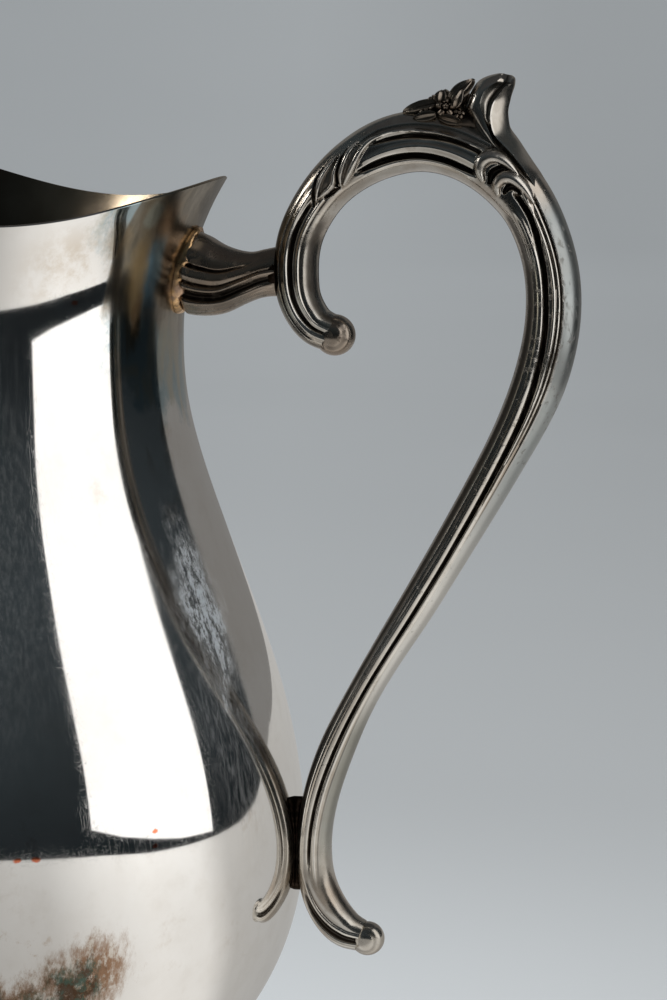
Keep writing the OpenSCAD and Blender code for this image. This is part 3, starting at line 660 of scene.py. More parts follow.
def build_leaf():
    T = np.array(LEAF_ROWS)
    n = 156
    A = natural(np.arange(len(T)), T.reshape(len(T), -1), np.linspace(0, len(T) - 1, n)).reshape(n, 5, 3)
    A[..., 2] = np.maximum(A[..., 2], 0.03)
    A[:, 4, 2] = 0.0
    rows, cavs, edges = [], [], []
    for i, (L, Fo, Va, G, R) in enumerate(A):
        s = i / (n - 1)
        up = smooth((s - 0.35) / 0.11)
        # ed: bright lines along the fold and the ridge, partly wear, partly painted highlight
        pts, cv, ed = [[L[0], L[1], 0.0]], [0.3], [0.0]
        for t in np.linspace(0, 1, 16)[:-1]:
            p = L * (1 - t) + Fo * t
            p[2] = L[2] + (Fo[2] - L[2]) * math.sin(math.pi / 2 * t) ** (1 - 0.35 * up) + 0.35 * up * math.sin(math.pi * t)
            pts.append(p)
            cv.append(0.25 * (1 - t))
            ed.append(0.4 * t)
        for t in np.linspace(0, 1, 12)[:-1]:
            p = Fo * (1 - t) + Va * t
            p[2] -= 0.22 * math.sin(math.pi * t) * up
            pts.append(p)
            cv.append(0.9 * t ** 5)
            ed.append(0.5 * (1 - t) ** 3)
        for t in np.linspace(0, 1, 9)[:-1]:
            p = Va * (1 - t) + G * t
            p[2] = Va[2] + (G[2] - Va[2]) * t ** 1.3
            pts.append(p)
            cv.append(0.95 * (1 - t) ** 1.2)
            ed.append(t ** 3)
        for t in np.sin(np.pi / 2 * np.linspace(0, 1, 26)):
            p = G * (1 - t) + R * t
            p[2] = G[2] * max(0.0, 1 - t) ** 0.72
            pts.append(p)
            cv.append(0.0)
            ed.append(max(0.0, 1 - 9 * t))
        pts = np.array(pts)
        near = np.stack([pts[:, 0], -pts[:, 2], pts[:, 1]], 1)
        far = near[1:-1][::-1] * np.array([1, -1, 1])
        rows.append(np.vstack([near, far]))
        cavs.append(np.r_[cv, cv[1:-1][::-1]])
        edges.append(np.r_[ed, ed[1:-1][::-1]])
    V = np.array(rows)
    m = V.shape[1]
    P = V.reshape(-1, 3)
    c0, c1 = len(P), len(P) + 1
    P = np.vstack([P, V[0].mean(0)[None], V[-1].mean(0)[None]])
    F = grid_quads(n, m, flip=True) + fan(c0, list(range(m))) + fan(c1, [(n - 1) * m + j for j in range(m)], flip=True)
    return mesh_object("thumb_rest_leaf", P, F, {"cavity": np.r_[np.array(cavs).reshape(-1), 0, 0], "edge": np.r_[np.array(edges).reshape(-1), 0, 0], "band": np.zeros(len(P))}, sharp=40)


leaf = piece(build_leaf(), "handle_silver", "thumb_leaf")

# ------------------------------------------------------------ flower spray


def frame_from(direction, up=(0, 0, 1)):
    w = np.array(direction, float)
    w /= np.linalg.norm(w)
    u = np.cross(up, w)
    u /= np.linalg.norm(u) or 1
    v = np.cross(w, u)
    return u, v, w


def rosette(centre, normal, r, petals=5, spin=0.0):
    """Domed flower with cupped petals and a beaded eye, as one closed skin."""
    u, v, w = frame_from(normal)
    nr, na = 40, 120
    rr = np.linspace(0, 1, nr) ** 0.9
    an = np.arange(na) * 2 * np.pi / na
    R, A = np.meshgrid(rr, an, indexing="ij")
    pet = np.abs(np.cos(petals * (A - spin) / 2)) ** 0.45
    out = 0.62 + 0.38 * pet
    rad = R * out
    h = 0.34 * np.sin(np.pi * np.clip(R, 0, 1) ** 0.8) * (0.5 + 0.5 * pet)
    h += 0.30 * np.sqrt(np.clip(1 - (R / 0.30) ** 2, 0, 1))
    h -= 0.22 * np.exp(-((R - 0.36) / 0.07) ** 2)
    h -= 0.30 * (1 - pet) * smooth((R - 0.3) / 0.3)
    h -= 0.35 * smooth((R - 0.85) / 0.15)
    P = centre + r * (rad[..., None] * (np.cos(A)[..., None] * u + np.sin(A)[..., None] * v) + h[..., None] * w)
    cav = np.clip(np.exp(-((R - 0.36) / 0.07) ** 2) + (1 - pet) * smooth((R - 0.3) / 0.3), 0, 1)
    back = [centre + r * (0.7 * out[-1][:, None] * (np.cos(an)[:, None] * u + np.sin(an)[:, None] * v)) - 0.75 * r * w]
    V = np.vstack([P.reshape(-1, 3), back[0], [centre - 0.75 * r * w]])
    F = grid_quads(nr, na)
    F = [f for f in F]
    F += grid_quads(2, na, base=(nr - 1) * na)
    F += fan(len(V) - 1, [nr * na + j for j in range(na)], flip=True)
    cv = np.r_[cav.reshape(-1), np.ones(na + 1)]
    return V, F, cv


def blade(p0, p1, normal, width, thick, bend=0.0):
    """Pointed leaf with a raised midrib, as one closed skin."""
    p0, p1 = np.array(p0, float), np.array(p1, float)
    L = np.linalg.norm(p1 - p0)
    t = (p1 - p0) / L
    w = np.array(normal, float)
    w -= (w @ t) * t
    w /= np.linalg.norm(w)
    s = np.cross(w, t)
    n, m = 34, 28
    a = np.arange(m) * 2 * np.pi / m
    V, cav = [], []
    for i in range(n):
        f = i / (n - 1)
        wd = width * (math.sin(math.pi * min(1, 0.12 + f * 0.88)) ** 0.7 + 0.04)
        q = np.cos(a)
        top = np.sin(a)
        h = np.where(top > 0, thick * (0.55 + 0.45 * np.exp(-(q / 0.22) ** 2) - 0.35 * np.exp(-((np.abs(q) - 0.5) / 0.2) ** 2)) * np.abs(top) ** 0.6, -thick * 0.8 * np.abs(top) ** 0.6)
        h = h * (0.25 + 0.75 * math.sin(math.pi * min(1, 0.15 + f * 0.85)) ** 0.5)
        V.append(p0 + t * L * f + w * (bend * math.sin(math.pi * f)) + np.outer(q * wd, s) + np.outer(h, w))
        cav.append(np.clip(np.exp(-((np.abs(q) - 0.5) / 0.2) ** 2) * (top > 0), 0, 1) * 0.8)
    V = np.array(V)
    P = V.reshape(-1, 3)
    P = np.vstack([P, p0 - t * 0.1, p1 + t * 0.15])
    F = grid_quads(n, m, flip=False) + fan(n * m, list(range(m)), flip=True) + fan(n * m + 1, [(n - 1) * m + j for j in range(m)])
    return P, F, np.r_[np.array(cav).reshape(-1), 0, 0]


def build_spray():
    parts = []
    for s in (-1, 1):
        parts.append(rosette(np.array([109.6, s * 3.6, 220.6]), (0.05, s * 0.93, 0.36), 2.35, 5, 0.3))
        parts.append(rosette(np.array([105.6, s * 3.2, 219.9]), (-0.1, s * 0.80, 0.60), 1.6, 5, 0.9))
        parts.append(rosette(np.array([112.4, s * 3.9, 219.5]), (0.25, s * 0.9, 0.35), 1.3, 5, 0.1))
        parts.append(blade((107.4, s * 2.0, 221.4), (100.6, s * 1.6, 219.4), (0, s * 0.55, 0.85), 1.5, 1.25, 0.45))
        parts.append(blade((110.0, s * 2.0, 222.0), (114.6, s * 1.2, 226.0), (-0.5, s * 0.7, 0.6), 1.6, 1.3, 0.35))
        parts.append(blade((111.3, s * 3.4, 220.6), (112.9, s * 3.2, 224.2), (-0.3, s * 0.95, 0.2), 1.2, 1.0, 0.3))
        parts.append(blade((108.3, s * 3.0, 221.6), (108.6, s * 2.2, 224.0), (-0.2, s * 0.9, 0.3), 1.3, 1.1, 0.2))
        parts.append(blade((107.6, s * 4.2, 219.2), (103.0, s * 4.1, 218.3), (0, s * 0.9, 0.4), 1.1, 0.8, 0.25))
        parts.append(blade((108.6, s * 4.6, 218.7), (113.0, s * 4.5, 217.6), (0, s * 0.95, 0.3), 1.0, 0.8, 0.2))
    parts.append(rosette(np.array([106.6, 0.0, 222.2]), (-0.15, 0, 1), 1.7, 5, 0.5))
    # bed that the flowers stand on, following the top of the arch
    uu = np.linspace(8.7, 11.0, 60)
    idx = np.searchsorted(U, uu)
    a = np.linspace(0, 2 * np.pi, 49)[:-1]
    V = []
    for i, x in enumerate(idx):
        k = int(round(x))
        f = i / (len(idx) - 1)
        e = math.sin(math.pi * min(1, max(0.02, f))) ** 0.5
        c = C4[k, :2] + NOR[k] * (C4[k, 2] - 1.4)
        lump = 1 + 0.10 * np.sin(3 * a + 9 * f) + 0.08 * np.sin(5 * a + 21 * f)
        h = (3.0 * e * lump * (0.75 + 0.5 * f)) * np.sin(a)
        wy = 3.9 * e * lump * np.cos(a)
        V.append(np.stack([c[0] + NOR[k, 0] * h, wy, c[1] + NOR[k, 1] * h], 1))
    V = np.array(V)
    P = V.reshape(-1, 3)
    n, m = V.shape[:2]
    P = np.vstack([P, V[0].mean(0), V[-1].mean(0)])
    F = grid_quads(n, m, flip=True) + fan(n * m, list(range(m))) + fan(n * m + 1, [(n - 1) * m + j for j in range(m)], flip=True)
    parts.append((P, F, np.ones(len(P)) * 0.75))
    VV, FF, CC, base = [], [], [], 0
    for P, F, c in parts:
        VV.append(P)
        FF += [[i + base for i in f] for f in F]
        CC.append(c)
        base += len(P)
    VV = np.vstack(VV)
    cc = np.concatenate(CC)
    return mesh_object("flower_spray_casting", VV, FF, {"cavity": cc, "edge": np.zeros(len(VV)), "band": np.zeros(len(VV))}, sharp=70)


spray = piece(build_spray(), "arm_silver", "flower_spray")

# ------------------------------------------------------------ belly solder


def build_belly_solder():
    n, m = 90, 40
    zs = np.linspace(58.9, 78.6, n)
    bz = np.array([p[1] for p in BOWL])
    br = np.array([p[0] for p in BOWL])
    V = []
    for i, z in enumerate(zs):
        f = i / (n - 1)
        e = math.sin(math.pi * f) ** 0.45
        k = int(np.argmin(np.abs(C4[LOW:, 1] - z) + 1e3 * (C4[LOW:, 0] > 87))) + LOW
        xin = C4[k, 0] - C4[k, 2] * 0.93
        xb = float(np.interp(z, bz, br))
        half = (2.0 + 0.12 * math.sin(z * 0.7) + 0.06 * math.sin(z * 1.7)) * e + 0.05
        t = np.arange(m) / m * 2 * np.pi
        y = half * np.cos(t)
        side = np.sin(t)
        xl = np.sqrt(np.maximum(xb * xb - y * y, 1)) + 0.03
        xr = np.maximum(xl + 0.06, xin + 0.55 * (y / 2.3) ** 2 * 1.2)
        x = xl * (1 - (side + 1) / 2) + xr * (side + 1) / 2
        V.append(np.stack([x, y, np.full(m, z)], 1))
    V = np.array(V)
    P = V.reshape(-1, 3)
    P = np.vstack([P, V[0].mean(0), V[-1].mean(0)])
    F = grid_quads(n, m, flip=False) + fan(n * m, list(range(m)), flip=True) + fan(n * m + 1, [(n - 1) * m + j for j in range(m)])
    return mesh_object("belly_solder_pad", P, F, sharp=70)


belly = piece(build_belly_solder(), "solder", "belly_solder")
# --------------------------------------------------------------- materials


class Nodes:
    def __init__(self, name):
        self.m = bpy.data.materials.new(name)
        self.m.use_nodes = True
        self.t = self.m.node_tree
        self.t.nodes.clear()
        self.out = self.t.nodes.new("ShaderNodeOutputMaterial")
        self.bsdf = self.t.nodes.new("ShaderNodeBsdfPrincipled")
        self.t.links.new(self.bsdf.outputs[0], self.out.inputs[0])
        tc = self.t.nodes.new("ShaderNodeTexCoord")
        self.obj = tc.outputs["Object"]

    def new(self, kind, **k):
        n = self.t.nodes.new(kind)
        for a, b in k.items():
            setattr(n, a, b)
        return n

    def put(self, socket, v):
        if isinstance(v, bpy.types.NodeSocket):
            self.t.links.new(v, socket)
        else:
            socket.default_value = v

    def math(self, op, a, b=0.0, c=None, clamp=False):
        n = self.new("ShaderNodeMath", operation=op, use_clamp=clamp)
        self.put(n.inputs[0], a)
        self.put(n.inputs[1], b)
        if c is not None:
            self.put(n.inputs[2], c)
        return n.outputs[0]

    def mapping(self, scale=(1, 1, 1), rot=(0, 0, 0), loc=(0, 0, 0), vec=None):
        n = self.new("ShaderNodeMapping")
        self.put(n.inputs[0], vec or self.obj)
        n.inputs["Scale"].default_value = scale
        n.inputs["Rotation"].default_value = rot
        n.inputs["Location"].default_value = loc
        return n.outputs[0]

    def noise(self, scale, detail=4, rough=0.55, vec=None, dist=0.0, lac=2.0):
        n = self.new("ShaderNodeTexNoise")
        self.put(n.inputs["Vector"], vec or self.obj)
        n.inputs["Scale"].default_value = scale
        n.inputs["Detail"].default_value = detail
        n.inputs["Roughness"].default_value = rough
        n.inputs["Distortion"].default_value = dist
        n.inputs["Lacunarity"].default_value = lac
        return n.outputs[0]

    def voronoi(self, scale, feature="F1", vec=None, rand=1.0):
        n = self.new("ShaderNodeTexVoronoi", feature=feature)
        self.put(n.inputs["Vector"], vec or self.obj)
        n.inputs["Scale"].default_value = scale
        n.inputs["Randomness"].default_value = rand
        return n.outputs["Distance"]

    def ramp(self, v, lo, hi, a=0.0, b=1.0, soft=True):
        n = self.new("ShaderNodeMapRange", interpolation_type="SMOOTHSTEP" if soft else "LINEAR")
        n.clamp = True
        self.put(n.inputs[0], v)
        n.inputs[1].default_value = lo
        n.inputs[2].default_value = hi
        n.inputs[3].default_value = a
        n.inputs[4].default_value = b
        return n.outputs[0]

    def mix(self, f, a, b):
        n = self.new("ShaderNodeMix", data_type="RGBA")
        self.put(n.inputs[0], f)
        for s, v in ((n.inputs[6], a), (n.inputs[7], b)):
            self.put(s, v if isinstance(v, bpy.types.NodeSocket) else (*v, 1.0))
        return n.outputs[2]

    def dist(self, p, scale=(1, 1, 1)):
        """Distance in metres from a place on the object, stretched by scale."""
        a = self.new("ShaderNodeVectorMath", operation="SUBTRACT")
        self.put(a.inputs[0], self.obj)
        a.inputs[1].default_value = tuple(c * MM for c in p)
        b = self.new("ShaderNodeVectorMath", operation="MULTIPLY")
        self.t.links.new(a.outputs[0], b.inputs[0])
        b.inputs[1].default_value = scale
        c = self.new("ShaderNodeVectorMath", operation="LENGTH")
        self.t.links.new(b.outputs[0], c.inputs[0])
        return c.outputs["Value"]

    def attr(self, name):
        return self.new("ShaderNodeAttribute", attribute_name=name).outputs["Fac"]

    def xyz(self):
        n = self.new("ShaderNodeSeparateXYZ")
        self.put(n.inputs[0], self.obj)
        return n.outputs

    def bump(self, height, strength, distance, prev=None):
        n = self.new("ShaderNodeBump")
        n.inputs["Strength"].default_value = strength
        n.inputs["Distance"].default_value = distance
        self.put(n.inputs["Height"], height)
        if prev is not None:
            self.put(n.inputs["Normal"], prev)
        return n.outputs[0]


def scratches(N, seeds):
    """Several families of thin, long scratches; 1 on a scratch."""
    total = None
    for k, (rot, sc, cut) in enumerate(seeds):
        v = N.mapping(scale=sc, rot=rot, loc=(k * 0.37, k * 0.11, k * 0.53))
        n = N.noise(1.0, 2, 0.5, vec=v)
        line = N.ramp(N.math("ABSOLUTE", N.math("SUBTRACT", n, 0.5)), 0.0, cut, 1.0, 0.0)
        gate = N.ramp(N.noise(28 + 9 * k, 2, 0.5, vec=N.mapping(loc=(k, k * 2, 0))), 0.46, 0.62)
        s = N.math("MULTIPLY", line, gate)
        total = s if total is None else N.math("MAXIMUM", total, s)
    return total


def mat_body():
    N = Nodes("polished_silver_plate")
    b = N.bsdf
    b.inputs["Metallic"].default_value = 1.0
    x, y, z = N.xyz()
    cloud = N.noise(22, 5, 0.6)
    fine = N.noise(160, 4, 0.6)
    # warm and cool drift of the plate
    base = N.mix(N.ramp(cloud, 0.35, 0.7), (0.90, 0.885, 0.865), (0.83, 0.80, 0.765))
    base = N.mix(N.math("MULTIPLY", N.ramp(fine, 0.45, 0.75), 0.22), base, (0.70, 0.66, 0.61))
    # brown bloom round the arm's joint, blue at its edge, with runs of flux below it
    dn = N.math("ADD", N.dist((58, -6, 190), (1, 0.9, 0.75)), N.math("MULTIPLY", N.math("SUBTRACT", N.noise(70, 5, 0.65), 0.5), 0.030))
    joint = N.ramp(dn, 0.026, 0.012)
    blue = N.math("MULTIPLY", N.ramp(dn, 0.028, 0.022), N.ramp(dn, 0.010, 0.017))
    swirl = N.ramp(N.noise(85, 4, 0.55, vec=N.mapping(scale=(1, 1, 0.30), loc=(2, 3, 1)), dist=1.2), 0.44, 0.56)
    base = N.mix(N.math("MULTIPLY", joint, 0.78), base, N.mix(swirl, (0.30, 0.235, 0.155), (0.50, 0.43, 0.33)))
    base = N.mix(N.math("MULTIPLY", blue, 0.75), base, N.mix(swirl, (0.33, 0.47, 0.52), (0.50, 0.49, 0.40)))
    runs = N.ramp(N.noise(1.0, 3, 0.5, vec=N.mapping(scale=(150, 150, 22), loc=(1.3, 0.2, 0))), 0.56, 0.64)
    drip = N.math("MULTIPLY", runs, N.ramp(N.dist((53, -17, 172), (1, 1, 0.55)), 0.016, 0.006))
    base = N.mix(N.math("MULTIPLY", drip, 0.7), base, (0.36, 0.25, 0.14))
    warp = N.math("MULTIPLY", N.math("SUBTRACT", N.noise(190, 4, 0.6), 0.5), 0.006)
    curtain = N.math("MULTIPLY", N.ramp(N.math("ADD", y, N.math("MULTIPLY", warp, 0.12)), -0.0305, -0.0295), N.math("MULTIPLY", N.ramp(N.math("ADD", z, N.math("MULTIPLY", warp, 1.5)), 0.177, 0.183), N.ramp(x, 0.0, 0.01)))
    drape = N.noise(1.0, 4, 0.6, vec=N.mapping(scale=(170, 170, 42), loc=(0.3, 0.9, 0.2)), dist=0.6)
    base = N.mix(N.math("MULTIPLY", curtain, 0.86), base, N.mix(N.ramp(drape, 0.40, 0.58), (0.105, 0.083, 0.052), (0.235, 0.195, 0.14)))
    for p, sc3, r0, col, amt in (((52.6, -17.9, 188.5), (1, 1, 0.42), 0.0050, (0.17, 0.33, 0.44), 0.80), ((50.6, -22.6, 187.0), (1, 1, 0.30), 0.0046, (0.42, 0.31, 0.16), 0.85),
                                 ((49.7, -20.5, 178.5), (1.5, 1.5, 0.45), 0.0034, (0.26, 0.17, 0.085), 0.90), ((56.4, -18.6, 198.8), (1, 1, 0.8), 0.0052, (0.33, 0.23, 0.14), 0.75),
                                 ((55.6, -11.3, 192.9), (1, 1, 0.6), 0.0052, (0.30, 0.21, 0.13), 0.75), ((48.9, -30.3, 195.1), (1, 1, 0.9), 0.0050, (0.40, 0.30, 0.18), 0.60),
                                 ((54.2, -24.0, 200.0), (1, 1, 1.0), 0.0040, (0.40, 0.48, 0.46), 0.50)):
        base = N.mix(N.math("MULTIPLY", N.ramp(N.math("ADD", N.dist(p, sc3), warp), r0, r0 * 0.35), amt), base, col)
    veil = N.math("MULTIPLY", N.ramp(N.dist((43, -37, 189), (1, 1, 1.4)), 0.018, 0.004), N.ramp(N.noise(120, 5, 0.65), 0.40, 0.62))
    base = N.mix(N.math("MULTIPLY", veil, 0.55), base, (0.55, 0.44, 0.31))
    # worn, coppery patch low on the belly, and dull plate near the foot
    streak = N.mapping(scale=(1, 1, 0.45))
    dl = N.math("ADD", N.dist((46.8, -61.0, 50.4), (1, 1, 1.1)), N.math("MULTIPLY", N.math("SUBTRACT", N.noise(190, 8, 0.78, vec=streak), 0.5), 0.022))
    d2 = N.math("ADD", N.dist((51.2, -58.2, 54.2), (1, 1, 1.1)), N.math("MULTIPLY", N.math("SUBTRACT", N.noise(210, 8, 0.78, vec=streak), 0.5), 0.020))
    d3 = N.math("ADD", N.dist((37.0, -66.6, 48.5), (0.60, 0.60, 1.1)), N.math("MULTIPLY", N.math("SUBTRACT", N.noise(230, 7, 0.78, vec=streak), 0.5), 0.020))
    patch = N.math("MAXIMUM", N.ramp(dl, 0.012, 0.004), N.math("MAXIMUM", N.ramp(d2, 0.0095, 0.003), N.ramp(d3, 0.008, 0.002)))
    tone = N.noise(420, 6, 0.75, vec=N.mapping(loc=(3, 1, 2), scale=(1, 1, 0.6)))
    base = N.mix(N.math("MULTIPLY", patch, 0.50), base, (0.46, 0.35, 0.235))
    base = N.mix(N.math("MULTIPLY", N.math("MULTIPLY", patch, N.ramp(tone, 0.40, 0.55)), 0.88), base, (0.28, 0.14, 0.068))
    speck = N.math("MULTIPLY", N.math("MAXIMUM", N.ramp(dl, 0.0080, 0.003), N.math("MULTIPLY", N.ramp(d3, 0.005, 0.001), 0.7)), N.ramp(N.noise(300, 6, 0.75, vec=N.mapping(loc=(1, 5, 2), scale=(1, 1, 0.7))), 0.33, 0.46))
    base = N.mix(N.math("MULTIPLY", speck, 0.94), base, N.mix(N.ramp(N.noise(150, 5, 0.7), 0.44, 0.56), (0.065, 0.115, 0.090), (0.085, 0.050, 0.030)))
    foot = N.math("MULTIPLY", N.ramp(z, 0.030, 0.008), N.ramp(N.noise(55, 5, 0.6), 0.35, 0.65))
    base = N.mix(N.math("MULTIPLY", foot, 0.55), base, (0.42, 0.34, 0.24))
    # scattered stains elsewhere
    st = N.ramp(N.noise(34, 6, 0.7, vec=N.mapping(loc=(9, 4, 7))), 0.60, 0.74)
    base = N.mix(N.math("MULTIPLY", st, 0.40), base, (0.52, 0.42, 0.32))
    freckle = N.math("MULTIPLY", N.ramp(N.noise(280, 6, 0.78), 0.55, 0.68), N.math("MULTIPLY", N.ramp(N.dist((38, -64, 62)), 0.030, 0.012), N.ramp(N.noise(60, 3, 0.5, vec=N.mapping(loc=(2, 2, 5))), 0.45, 0.60)))
    base = N.mix(N.math("MULTIPLY", freckle, 0.60), base, (0.50, 0.36, 0.24))
    # a few dabs of red lacquer
    for p, r in (((37.1, -68.4, 77.7), 0.0011), ((40.4, -66.5, 77.7), 0.0012), ((59.9, -49.1, 80.5), 0.0010), ((60.1, -49.4, 77.6), 0.0009), ((41.0, -35.6, 183.0), 0.0009)):
        dd = N.math("ADD", N.dist(p, (1, 1, 1.6)), N.math("MULTIPLY", N.math("SUBTRACT", N.noise(900, 3, 0.6), 0.5), 0.0014))
        base = N.mix(N.math("MULTIPLY", N.ramp(dd, r, r * 0.5), 0.9), base, (0.85, 0.20, 0.07))
    ff = N.math("ADD", N.dist((63.4, -20.5, 120), (1.0, 1.25, 0.38)), N.math("MULTIPLY", N.math("SUBTRACT", N.noise(120, 7, 0.78, vec=N.mapping(scale=(1, 1, 0.6), rot=(0.0, -0.5, 0))), 0.5), 0.022))
    crystal = N.ramp(N.noise(520, 7, 0.82, vec=N.mapping(scale=(1, 1, 0.36), rot=(0.0, -0.6, 0), loc=(3, 1, 2))), 0.40, 0.58)
    chalk = N.math("MULTIPLY", N.ramp(ff, 0.0125, 0.002), crystal)
    brushed = N.ramp(N.noise(1.0, 6, 0.75, vec=N.mapping(scale=(1300, 1300, 70), rot=(0.22, 0.38, 0))), 0.40, 0.70)
    lowhaze = N.math("MULTIPLY", N.math("MULTIPLY", N.ramp(N.dist((68.5, -24, 98), (1.0, 1.1, 0.42)), 0.0150, 0.006), brushed), 0.26)
    lefthaze = N.math("MULTIPLY", N.math("MULTIPLY", N.ramp(N.dist((22, -57, 138), (1.0, 1.0, 0.55)), 0.034, 0.010), brushed), 0.13)
    chalk = N.math("MAXIMUM", chalk, N.math("MAXIMUM", lowhaze, lefthaze))
    base = N.mix(N.math("MULTIPLY", chalk, 0.55), base, (0.52, 0.62, 0.70))
    N.put(b.inputs["Metallic"], N.math("SUBTRACT", 1.0, N.math("MULTIPLY", chalk, 0.62)))
    # the inside is dull and brown, with painted shade on its far upper side
    ins = N.attr("inside")
    base = N.mix(N.math("MULTIPLY", ins, 0.92), base, N.mix(N.ramp(N.noise(40, 5, 0.6), 0.35, 0.65), (0.23, 0.18, 0.125), (0.42, 0.35, 0.26)))
    # painted shade: the far, upper part of the inside towards the spout is painted near black
    base = N.mix(N.math("MULTIPLY", N.math("MULTIPLY", ins, N.ramp(x, 0.022, -0.006)), N.math("MULTIPLY", N.ramp(z, 0.165, 0.185), N.ramp(y, 0.0, 0.012))), base, (0.060, 0.047, 0.034))
    N.put(b.inputs["Base Color"], base)
    # roughness: mirror polish with smears, a frosted patch and the tarnish
    sc = scratches(N, [((0.2, 0.1, 0.0), (620, 620, 16), 0.004), ((0.5, 0.3, 0.6), (30, 800, 800), 0.0035),
                       ((0.1, 0.9, 1.4), (740, 26, 740), 0.0035), ((1.1, 0.4, 0.3), (580, 580, 30), 0.0035)])
    df = N.math("ADD", N.dist((63.4, -20.5, 119), (1.0, 1.25, 0.38)), N.math("MULTIPLY", N.math("SUBTRACT", N.noise(75, 6, 0.7), 0.5), 0.022))
    frost = N.math("MULTIPLY", N.ramp(df, 0.0125, 0.004), N.ramp(N.noise(520, 6, 0.8, vec=N.mapping(scale=(1, 1, 0.28), rot=(0.0, -0.35, 0))), 0.38, 0.62))
    hazy = N.ramp(df, 0.024, 0.006)
    r = N.ramp(N.noise(30, 4, 0.6, vec=N.mapping(loc=(5, 5, 1))), 0.3, 0.8, 0.030, 0.075)
    r = N.math("ADD", r, N.math("MULTIPLY", sc, 0.05))
    r = N.math("ADD", r, N.math("MULTIPLY", hazy, 0.05))
    r = N.math("ADD", r, N.math("MULTIPLY", frost, 0.13))
    r = N.math("ADD", r, N.math("MULTIPLY", N.math("ADD", joint, patch), 0.12))
    r = N.math("ADD", r, N.math("MULTIPLY", curtain, 0.08))
    r = N.math("ADD", r, N.math("MULTIPLY", ins, 0.07))
    N.put(b.inputs["Roughness"], N.math("MINIMUM", r, 0.75))
    h = N.math("SUBTRACT", N.math("MULTIPLY", N.noise(620, 3, 0.7), 0.22), N.math("MULTIPLY", sc, 0.35))
    n1 = N.bump(h, 0.06, 0.00004)
    n2 = N.bump(N.noise(26, 2, 0.5), 0.30, 0.00010, n1)
    n3 = N.bump(N.math("MULTIPLY", frost, N.noise(900, 3, 0.7)), 0.14, 0.00008, n2)
    N.put(b.inputs["Normal"], n3)
    return N.m


def mat_cast(name, light, mid, dark, tarnish, rough=0.16):
    """Cast silver plate: bright where it is rubbed and along painted highlight lines, dark patina in the flutes."""
    N = Nodes(name)
    b = N.bsdf
    b.inputs["Metallic"].default_value = 1.0
    cav = N.attr("cavity")
    edge = N.attr("edge")
    band = N.attr("band")
    n1 = N.noise(60, 5, 0.6)
    n2 = N.noise(420, 5, 0.65)
    base = N.mix(N.ramp(n1, 0.32, 0.70), light, mid)
    base = N.mix(N.math("MULTIPLY", N.ramp(n2, 0.45, 0.70), 0.35), base, mid)
    base = N.mix(N.math("MULTIPLY", N.ramp(N.noise(90, 4, 0.6, vec=N.mapping(loc=(2, 8, 4))), 0.42, 0.70), tarnish), base, (0.36, 0.28, 0.215))
    base = N.mix(N.math("MULTIPLY", N.ramp(N.noise(75, 3, 0.6, vec=N.mapping(loc=(7, 1, 3))), 0.54, 0.72), tarnish * 0.6), base, (0.40, 0.335, 0.265))
    dk = N.math("MULTIPLY", N.ramp(N.math("ADD", cav, N.math("MULTIPLY", N.math("SUBTRACT", n2, 0.5), 0.35)), 0.15, 0.95), 0.90)
    base = N.mix(dk, base, dark)
    x, y, z = N.xyz()
    base = N.mix(N.math("MULTIPLY", band, 0.80), base, N.mix(N.ramp(z, 0.118, 0.150), N.mix(N.ramp(z, 0.104, 0.090), (0.63, 0.62, 0.59), (0.26, 0.265, 0.24)), (0.29, 0.325, 0.335)))
    # rubbed edges and ridges brightened, partly as painted highlights
    base = N.mix(N.math("MULTIPLY", N.math("MULTIPLY", edge, N.ramp(n2, 0.22, 0.48)), 0.70), base, (0.82, 0.79, 0.74))
    # pits where the plate has worn through on the outer band
    zone = N.math("MULTIPLY", N.ramp(z, 0.138, 0.150), N.ramp(z, 0.205, 0.190))
    pits = N.math("MULTIPLY", N.ramp(N.noise(520, 4, 0.65), 0.56, 0.63), N.math("MULTIPLY", zone, N.ramp(N.noise(70, 3, 0.5, vec=N.mapping(loc=(1, 1, 9))), 0.44, 0.55)))
    dots = N.math("MULTIPLY", N.ramp(N.noise(760, 3, 0.6), 0.64, 0.70), N.ramp(N.noise(55, 3, 0.5, vec=N.mapping(loc=(1, 1, 9))), 0.46, 0.60))
    pits = N.math("MAXIMUM", pits, N.math("MULTIPLY", dots, 0.8))
    base = N.mix(N.math("MULTIPLY", pits, 0.42), base, (0.17, 0.145, 0.12))
    N.put(b.inputs["Base Color"], base)
    r = N.ramp(n1, 0.3, 0.75, rough, rough + 0.10)
    r = N.math("ADD", r, N.math("MULTIPLY", dk, 0.20))
    r = N.math("ADD", r, N.math("MULTIPLY", pits, 0.22))
    r = N.math("ADD", r, N.math("MULTIPLY", band, 0.12))
    r = N.math("ADD", r, N.math("MULTIPLY", N.attr("relief"), 0.10))
    r = N.math("SUBTRACT", r, N.math("MULTIPLY", edge, 0.05))
    N.put(b.inputs["Roughness"], N.math("MAXIMUM", r, 0.06))
    h = N.math("SUBTRACT", N.math("MULTIPLY", n2, 0.5), N.math("MULTIPLY", pits, 1.6))
    a1 = N.bump(h, 0.20, 0.00012)
    a2 = N.bump(N.noise(110, 3, 0.6), 0.12, 0.00012, a1)
    N.put(b.inputs["Normal"], a2)
    return N.m


